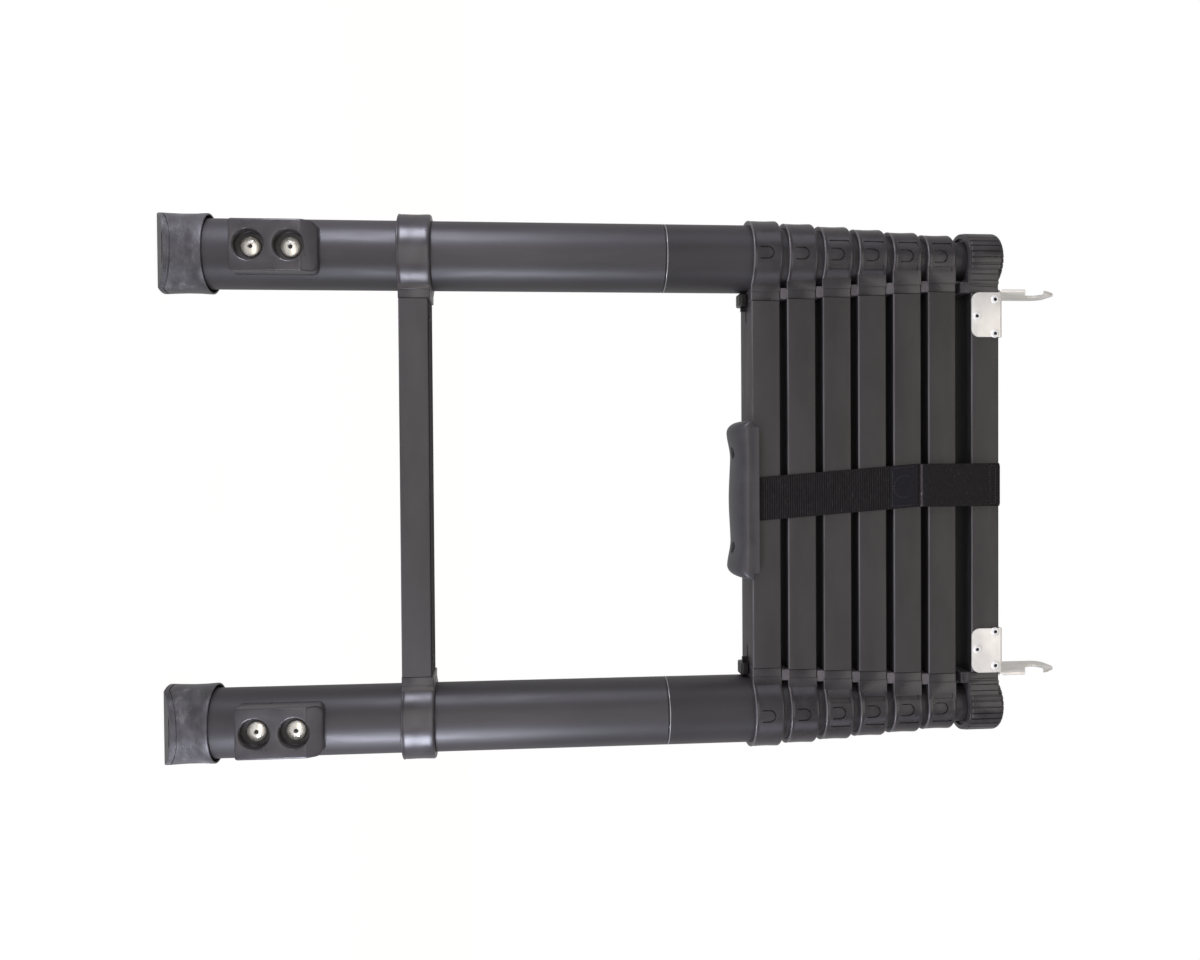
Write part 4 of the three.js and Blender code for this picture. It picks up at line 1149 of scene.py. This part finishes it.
low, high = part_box("top_bracket_left")
PLATE = 2.0                     # the sheet's thickness at the plate and flange
EAR = 2.4                       # and at the ear
plate_front = (low.y - STILE.y) / MM
ear_from, plate_to = (low.x - STILE.x) / MM, (high.x - STILE.x) / MM
plate_from = 31.0
plate_bottom = low.z / MM
flange_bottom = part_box("top_rung")[1].z / MM + GAP
ear_back, ear_top = (high.y - STILE.y) / MM, high.z / MM
BEND = 2.6                      # outer radius of the bend
PLATE_CORNER = 7.0
bend_y, bend_z = plate_front + BEND, flange_bottom + PLATE - BEND
sheet_profile = [
    (plate_front, plate_bottom), *arc(bend_y, bend_z, BEND, 180, 90, 6),
    (ear_back, flange_bottom + PLATE), (ear_back, flange_bottom),
    *arc(bend_y, bend_z, BEND - PLATE, 90, 180, 4), (plate_front + PLATE, plate_bottom),
]
bracket_bm = prism(sheet_profile, plate_from, plate_to, along="x")
lower_corners = [edge for edge in bracket_bm.edges
                 if max(vert.co.z for vert in edge.verts) < (plate_bottom + 0.1) * MM
                 and abs(edge.verts[0].co.x - edge.verts[1].co.x) < 1e-6]
soften(bracket_bm, PLATE_CORNER, 8, chosen=lower_corners)
HOOK_END = (0.5, 762.0)
HOOK_MOUTH = (-34.0, 744.4)
HOOK_RADIUS = 7.5
slant = math.degrees(math.atan2(HOOK_END[1] - HOOK_MOUTH[1], HOOK_END[0] - HOOK_MOUTH[0]))
ear_bm = prism([
    (plate_front + 1, flange_bottom), (ear_back, flange_bottom),
    *arc(ear_back - 9, ear_top - 9, 9, 0, 90, 8), *arc(2, ear_top - 14, 14, 90, 150, 6),
    (-15.5, ear_top - 12), (-19.3, ear_top - 19), (-19.3, ear_top - 24),
    (plate_front, 747), (plate_front, flange_bottom + 1),
], ear_from, ear_from + EAR, along="x")
slot_outline = (arc(*HOOK_END, HOOK_RADIUS, slant - 90, slant + 90, 20)
                + arc(*HOOK_MOUTH, HOOK_RADIUS, slant + 90, slant + 270, 1))
hook_slot = prism(slot_outline, ear_from - 1, ear_from + EAR + 1.6, along="x")
ear_bm = combine(ear_bm, hook_slot, "DIFFERENCE")
soften(ear_bm, 0.35, 2, angle=60)
bridge = block((ear_from + 1, plate_from + 1), (plate_front + 2, ear_back),
               (flange_bottom, flange_bottom + PLATE))
soften(bracket_bm, 0.3, 2, angle=60)
bracket_bm = combine(combine(bracket_bm, bridge, "UNION"), ear_bm, "UNION")
zinc = zinc_plate()
on_both_stiles("hook_bracket_{side}", bracket_bm, zinc, "section_7",
               ["top_bracket_{side}"])

RIVET_PLACES = ((37.2, 713.3), (67.0, 713.3), (51.8, 696.8))    # from the stile axis, and height
rivet_aluminium = new_material("rivet_aluminium", (0.93, 0.92, 0.90), 0.3, 0.2)[0]
# near black: the mandrel's end, coloured as painted shade for the rivet's bore
mandrel_painted_shade = new_material("mandrel_painted_shade", (0.012, 0.012, 0.012), 0.8)[0]
for index, (along, height) in enumerate(RIVET_PLACES):
    rivet_bm = turned([(0, plate_front + 1.2), (3.7, plate_front + 1.2), (3.7, plate_front - 0.2),
                       (3.4, plate_front - 0.6), (2.8, plate_front - 0.9), (2.1, plate_front - 1.1),
                       (1.7, plate_front - 1.1), (1.55, plate_front - 0.9), (1.5, plate_front + 0.9),
                       (0, plate_front + 0.9)], steps=40)
    core_bm = turned([(0, plate_front + 1.1), (1.5, plate_front + 1.1), (1.5, plate_front - 0.75),
                      (1.0, plate_front - 0.95), (0, plate_front - 0.85)], steps=24)
    for piece_bm in (rivet_bm, core_bm):
        across(piece_bm, height)
        bmesh.ops.translate(piece_bm, vec=(along * MM, 0, 0), verts=piece_bm.verts)
    on_both_stiles(f"bracket_rivet_{index + 1}_{{side}}", rivet_bm, rivet_aluminium, "section_7",
                   [])
    on_both_stiles(f"rivet_core_{index + 1}_{{side}}", core_bm, mandrel_painted_shade, "section_7",
                   [])


# ---- Strap ----
# Black ribbed polyester webbing that holds the closed rungs together. It goes over the top rung
# and down both faces into the handle, and its free end folds back onto a hook-and-loop patch.

def ribbed_webbing(name="ribbed_webbing", ribs=0.55, tone=1.0):
    """Black polyester webbing: a cord every two millimetres, paler yarn ends and a little fuzz."""
    material, nodes, links, shader = new_material(name, (0.014, 0.0125, 0.013), 0.75)
    yarn = pattern(nodes, links, "Noise", 700, (0.4, 1, 2.2), Detail=5.0, Roughness=0.7)
    black, dark, fuzz = (0.0055, 0.0044, 0.0046), (0.0125, 0.0105, 0.0108), (0.085, 0.076, 0.073)
    tint = [(stop, tuple(part * tone for part in colour))
            for stop, colour in ((0.40, black), (0.60, dark), (0.72, fuzz))]
    cords = pattern(nodes, links, "Wave", 157, Distortion=0.6)
    cords.bands_direction = "Z"
    # the colour is darkened in the valleys between the cords, as deep as the ribs are high: painted shade of
    # the cord relief
    cord_shade_mix = nodes.new("ShaderNodeMix")
    cord_shade_mix.data_type = "RGBA"
    cord_shade_mix.blend_type = "MULTIPLY"
    cord_shade_mix.inputs["Factor"].default_value = min(1.0, ribs * 1.6)
    links.new(ramp(nodes, links, yarn.outputs["Fac"], tint), cord_shade_mix.inputs[6])
    cord_valley_shade = ramp(nodes, links, cords.outputs["Fac"], [(0.2, grey(0.35)), (0.85, grey(1.0))])
    links.new(cord_valley_shade, cord_shade_mix.inputs[7])
    links.new(cord_shade_mix.outputs[2], shader.inputs["Base Color"])
    shader.inputs["Specular IOR Level"].default_value = 0.25
    picks = pattern(nodes, links, "Wave", 420, Distortion=1.5)
    add_bump(nodes, links, shader, [(cords.outputs["Fac"], ribs, 0.3), (picks.outputs["Fac"], 0.35, 0.1),
                                    (yarn.outputs["Fac"], 0.4, 0.12)])
    return material


def hook_tape():
    """Dull bluish-black hook-and-loop tape with a bristly nap."""
    material, nodes, links, shader = new_material("hook_tape", (0.010, 0.009, 0.012), 0.7)
    shader.inputs["Specular IOR Level"].default_value = 0.25
    nap = pattern(nodes, links, "Voronoi", 900)
    tint = [(0.0, (0.003, 0.0026, 0.004)), (0.7, (0.008, 0.0072, 0.0105))]
    links.new(ramp(nodes, links, nap.outputs["Distance"], tint), shader.inputs["Base Color"])
    add_bump(nodes, links, shader, [(nap.outputs["Distance"], 0.6, 0.3)])
    return material


STRAP_WIDTH = 37.6
STRAP_HIGH_X = 1.5              # the strap's middle above the patch
WEB = 1.3
STAND_OFF = 0.2                 # between the webbing and the rungs
RIB_PITCH = 2.0
RIB_HEIGHT = 0.3
PATCH_LOW, PATCH_HIGH = 618.8, 643.6
FOLD_LOW, FOLD_HIGH = 646.6, 716.0
strap_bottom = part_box("strap")[0].z / MM
top_front, top_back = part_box("top_rung")[0].y / MM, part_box("top_rung")[1].y / MM
rung_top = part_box("top_rung")[1].z / MM


def strap_route(stand_off, front_from, back_to):
    """Points up the front, round the top rung's edges and down the back, in mm: (y, z)."""
    r = 1.5 + stand_off
    front_edge = arc(top_front + 1.5, rung_top - 1.5, r, 180, 90, 8)
    back_edge = arc(top_back - 1.5, rung_top - 1.5, r, 90, 0, 8)
    return [(top_front - stand_off, front_from), *front_edge, *back_edge, (top_back + stand_off, back_to)]


def along_route(route, distance):
    """The point and outward direction at a distance along the route."""
    for (y1, z1), (y2, z2) in zip(route, route[1:]):
        length = math.hypot(y2 - y1, z2 - z1)
        if distance <= length or (y2, z2) == route[-1]:
            share = distance / length
            return y1 + (y2 - y1) * share, z1 + (z2 - z1) * share, -(z2 - z1) / length, (y2 - y1) / length
        distance -= length


def lean_at(height):
    """How far the strap's middle is to the right: it slants up to the patch and is upright above."""
    share = min(1.0, (height - strap_bottom) / (PATCH_HIGH - strap_bottom))
    return STRAP_LOW_X + (STRAP_HIGH_X - STRAP_LOW_X) * share


def webbing(route, width, thickness, ribs=0.0, rolled=0.0, across_steps=14):
    """A band of webbing along the route, with ribs across its face and a rolled starting edge."""
    length = sum(math.dist(a, b) for a, b in zip(route, route[1:]))
    rows = int(length / (RIB_PITCH / 6)) if ribs else int(length / 0.5)
    bm = bmesh.new()
    bmesh.ops.create_grid(bm, x_segments=across_steps, y_segments=rows, size=0.5)
    for vert in bm.verts:
        share_x, distance = vert.co.x, (vert.co.y + 0.5) * length
        y, z, out_y, out_z = along_route(route, distance)
        rib = ribs * (math.cos(2 * math.pi * distance / RIB_PITCH) - 1)
        ease = 1 - max(0.0, abs(share_x) - 0.46) / 0.04 * 0.4
        if rolled and distance < rolled:
            ease *= 0.25 + 0.75 * math.sqrt(max(0.0, 1 - (1 - distance / rolled) ** 2))
        lift = thickness * ease + rib
        x = lean_at(z) + share_x * width
        vert.co = Vector((x * MM, (y + out_y * lift) * MM, (z + out_z * lift) * MM))
    shell = bmesh.ops.extrude_face_region(bm, geom=list(bm.faces))
    under = [item for item in shell["geom"] if isinstance(item, bmesh.types.BMVert)]
    for vert in under:
        spot, out = nearest_on_route(route, vert.co)
        vert.co -= out * (vert.co - spot).dot(out) * 0.97
    bmesh.ops.recalc_face_normals(bm, faces=bm.faces)
    return bm


def nearest_on_route(route, point):
    """The nearest place on the route, and the direction out of it, for a point in metres."""
    best = None
    for (y1, z1), (y2, z2) in zip(route, route[1:]):
        start, step = Vector((0, y1, z1)) * MM, Vector((0, y2 - y1, z2 - z1)) * MM
        flat = Vector((0, point.y, point.z))
        share = min(1.0, max(0.0, (flat - start).dot(step) / step.length_squared))
        gap = (flat - start - step * share).length
        if best is None or gap < best[0]:
            out = Vector((0, -step.z, step.y)).normalized()
            best = (gap, start + step * share, out)
    _, spot, out = best
    return Vector((point.x, spot.y, spot.z)), out


black_webbing = ribbed_webbing()
whole_route = strap_route(STAND_OFF, strap_bottom, strap_bottom)
strap_bm = webbing(whole_route, STRAP_WIDTH, WEB, ribs=RIB_HEIGHT / 2)
stand("strap_webbing", strap_bm, black_webbing, "section_7", ["strap"], sharp=60)

face_y = top_front - STAND_OFF - WEB
patch_bm = webbing([(face_y, PATCH_LOW), (face_y, PATCH_HIGH)], STRAP_WIDTH - 1.0, 0.7, rolled=0.8)
stand("strap_hook_patch", patch_bm, hook_tape(), "section_7", [], sharp=60)
fold_route = [(face_y, FOLD_LOW), (face_y, FOLD_HIGH)]
fold_bm = webbing(fold_route, STRAP_WIDTH - 0.6, WEB + 0.7, ribs=RIB_HEIGHT / 8, rolled=3.0)
smooth_webbing = ribbed_webbing("smooth_webbing", 0.2)
stand("strap_fold_over", fold_bm, smooth_webbing, "section_7", [], sharp=60)
# the folded end starts in a hem painted pale grey: a painted highlight along its rolled edge
hem_route = [(face_y, FOLD_LOW - 0.7), (face_y, FOLD_LOW + 0.6)]
hem_bm = webbing(hem_route, STRAP_WIDTH - 0.4, WEB + 0.2, rolled=0.6)
hem_painted_highlight = ribbed_webbing("hem_highlight_webbing", 0.1, 7.0)
stand("strap_fold_hem", hem_bm, hem_painted_highlight, "section_7", [], sharp=60)


def thread():
    """Nearly black sewing thread, a little shiny."""
    material, nodes, links, shader = new_material("sewing_thread", (0.035, 0.035, 0.04), 0.5)
    twist = pattern(nodes, links, "Wave", 900, Distortion=1.0)
    add_bump(nodes, links, shader, [(twist.outputs["Fac"], 0.4, 0.1)])
    tint = [(0.2, (0.02, 0.02, 0.024)), (0.8, (0.055, 0.055, 0.064))]
    links.new(ramp(nodes, links, twist.outputs["Fac"], tint), shader.inputs["Base Color"])
    return material


def stitched(name, corners, outer_y, pitch=2.4):
    """A line of lock stitches round the corners, each a small rounded loop of thread."""
    bm = bmesh.new()
    for (x1, z1), (x2, z2) in zip(corners, corners[1:]):
        length = math.hypot(x2 - x1, z2 - z1)
        for step in range(max(1, int(length / pitch))):
            share = (step + 0.5) * pitch / length
            made = bmesh.ops.create_icosphere(bm, subdivisions=1, radius=1.0)["verts"]
            bmesh.ops.scale(bm, vec=(0.85 * MM, 0.22 * MM, 0.24 * MM), verts=made)
            turn = Matrix.Rotation(-math.atan2(z2 - z1, x2 - x1), 3, "Y")
            bmesh.ops.rotate(bm, cent=(0, 0, 0), matrix=turn, verts=made)
            x, z = x1 + (x2 - x1) * share, z1 + (z2 - z1) * share
            bmesh.ops.translate(bm, vec=((x + lean_at(z)) * MM, outer_y * MM, z * MM), verts=made)
    stand(name, bm, sewing_thread, "section_7", [], sharp=80)


sewing_thread = thread()
half = STRAP_WIDTH / 2 - 2.2
patch_face = face_y - 0.75
stitched("patch_stitches", [(half, PATCH_HIGH - 3), (half, PATCH_LOW + 1.8), (-half, PATCH_LOW + 1.8),
                            (-half, PATCH_HIGH - 3)], patch_face)
stitched("patch_round_stitches", arc(0, PATCH_LOW + 12.5, 9.5, 150, 390, 20), patch_face)
stitched("fold_stitches", [(half, FOLD_HIGH - 8), (half, FOLD_HIGH - 3), (-half, FOLD_HIGH - 3),
                           (-half, FOLD_HIGH - 8), (half, FOLD_HIGH - 8)], face_y - WEB - 0.7)
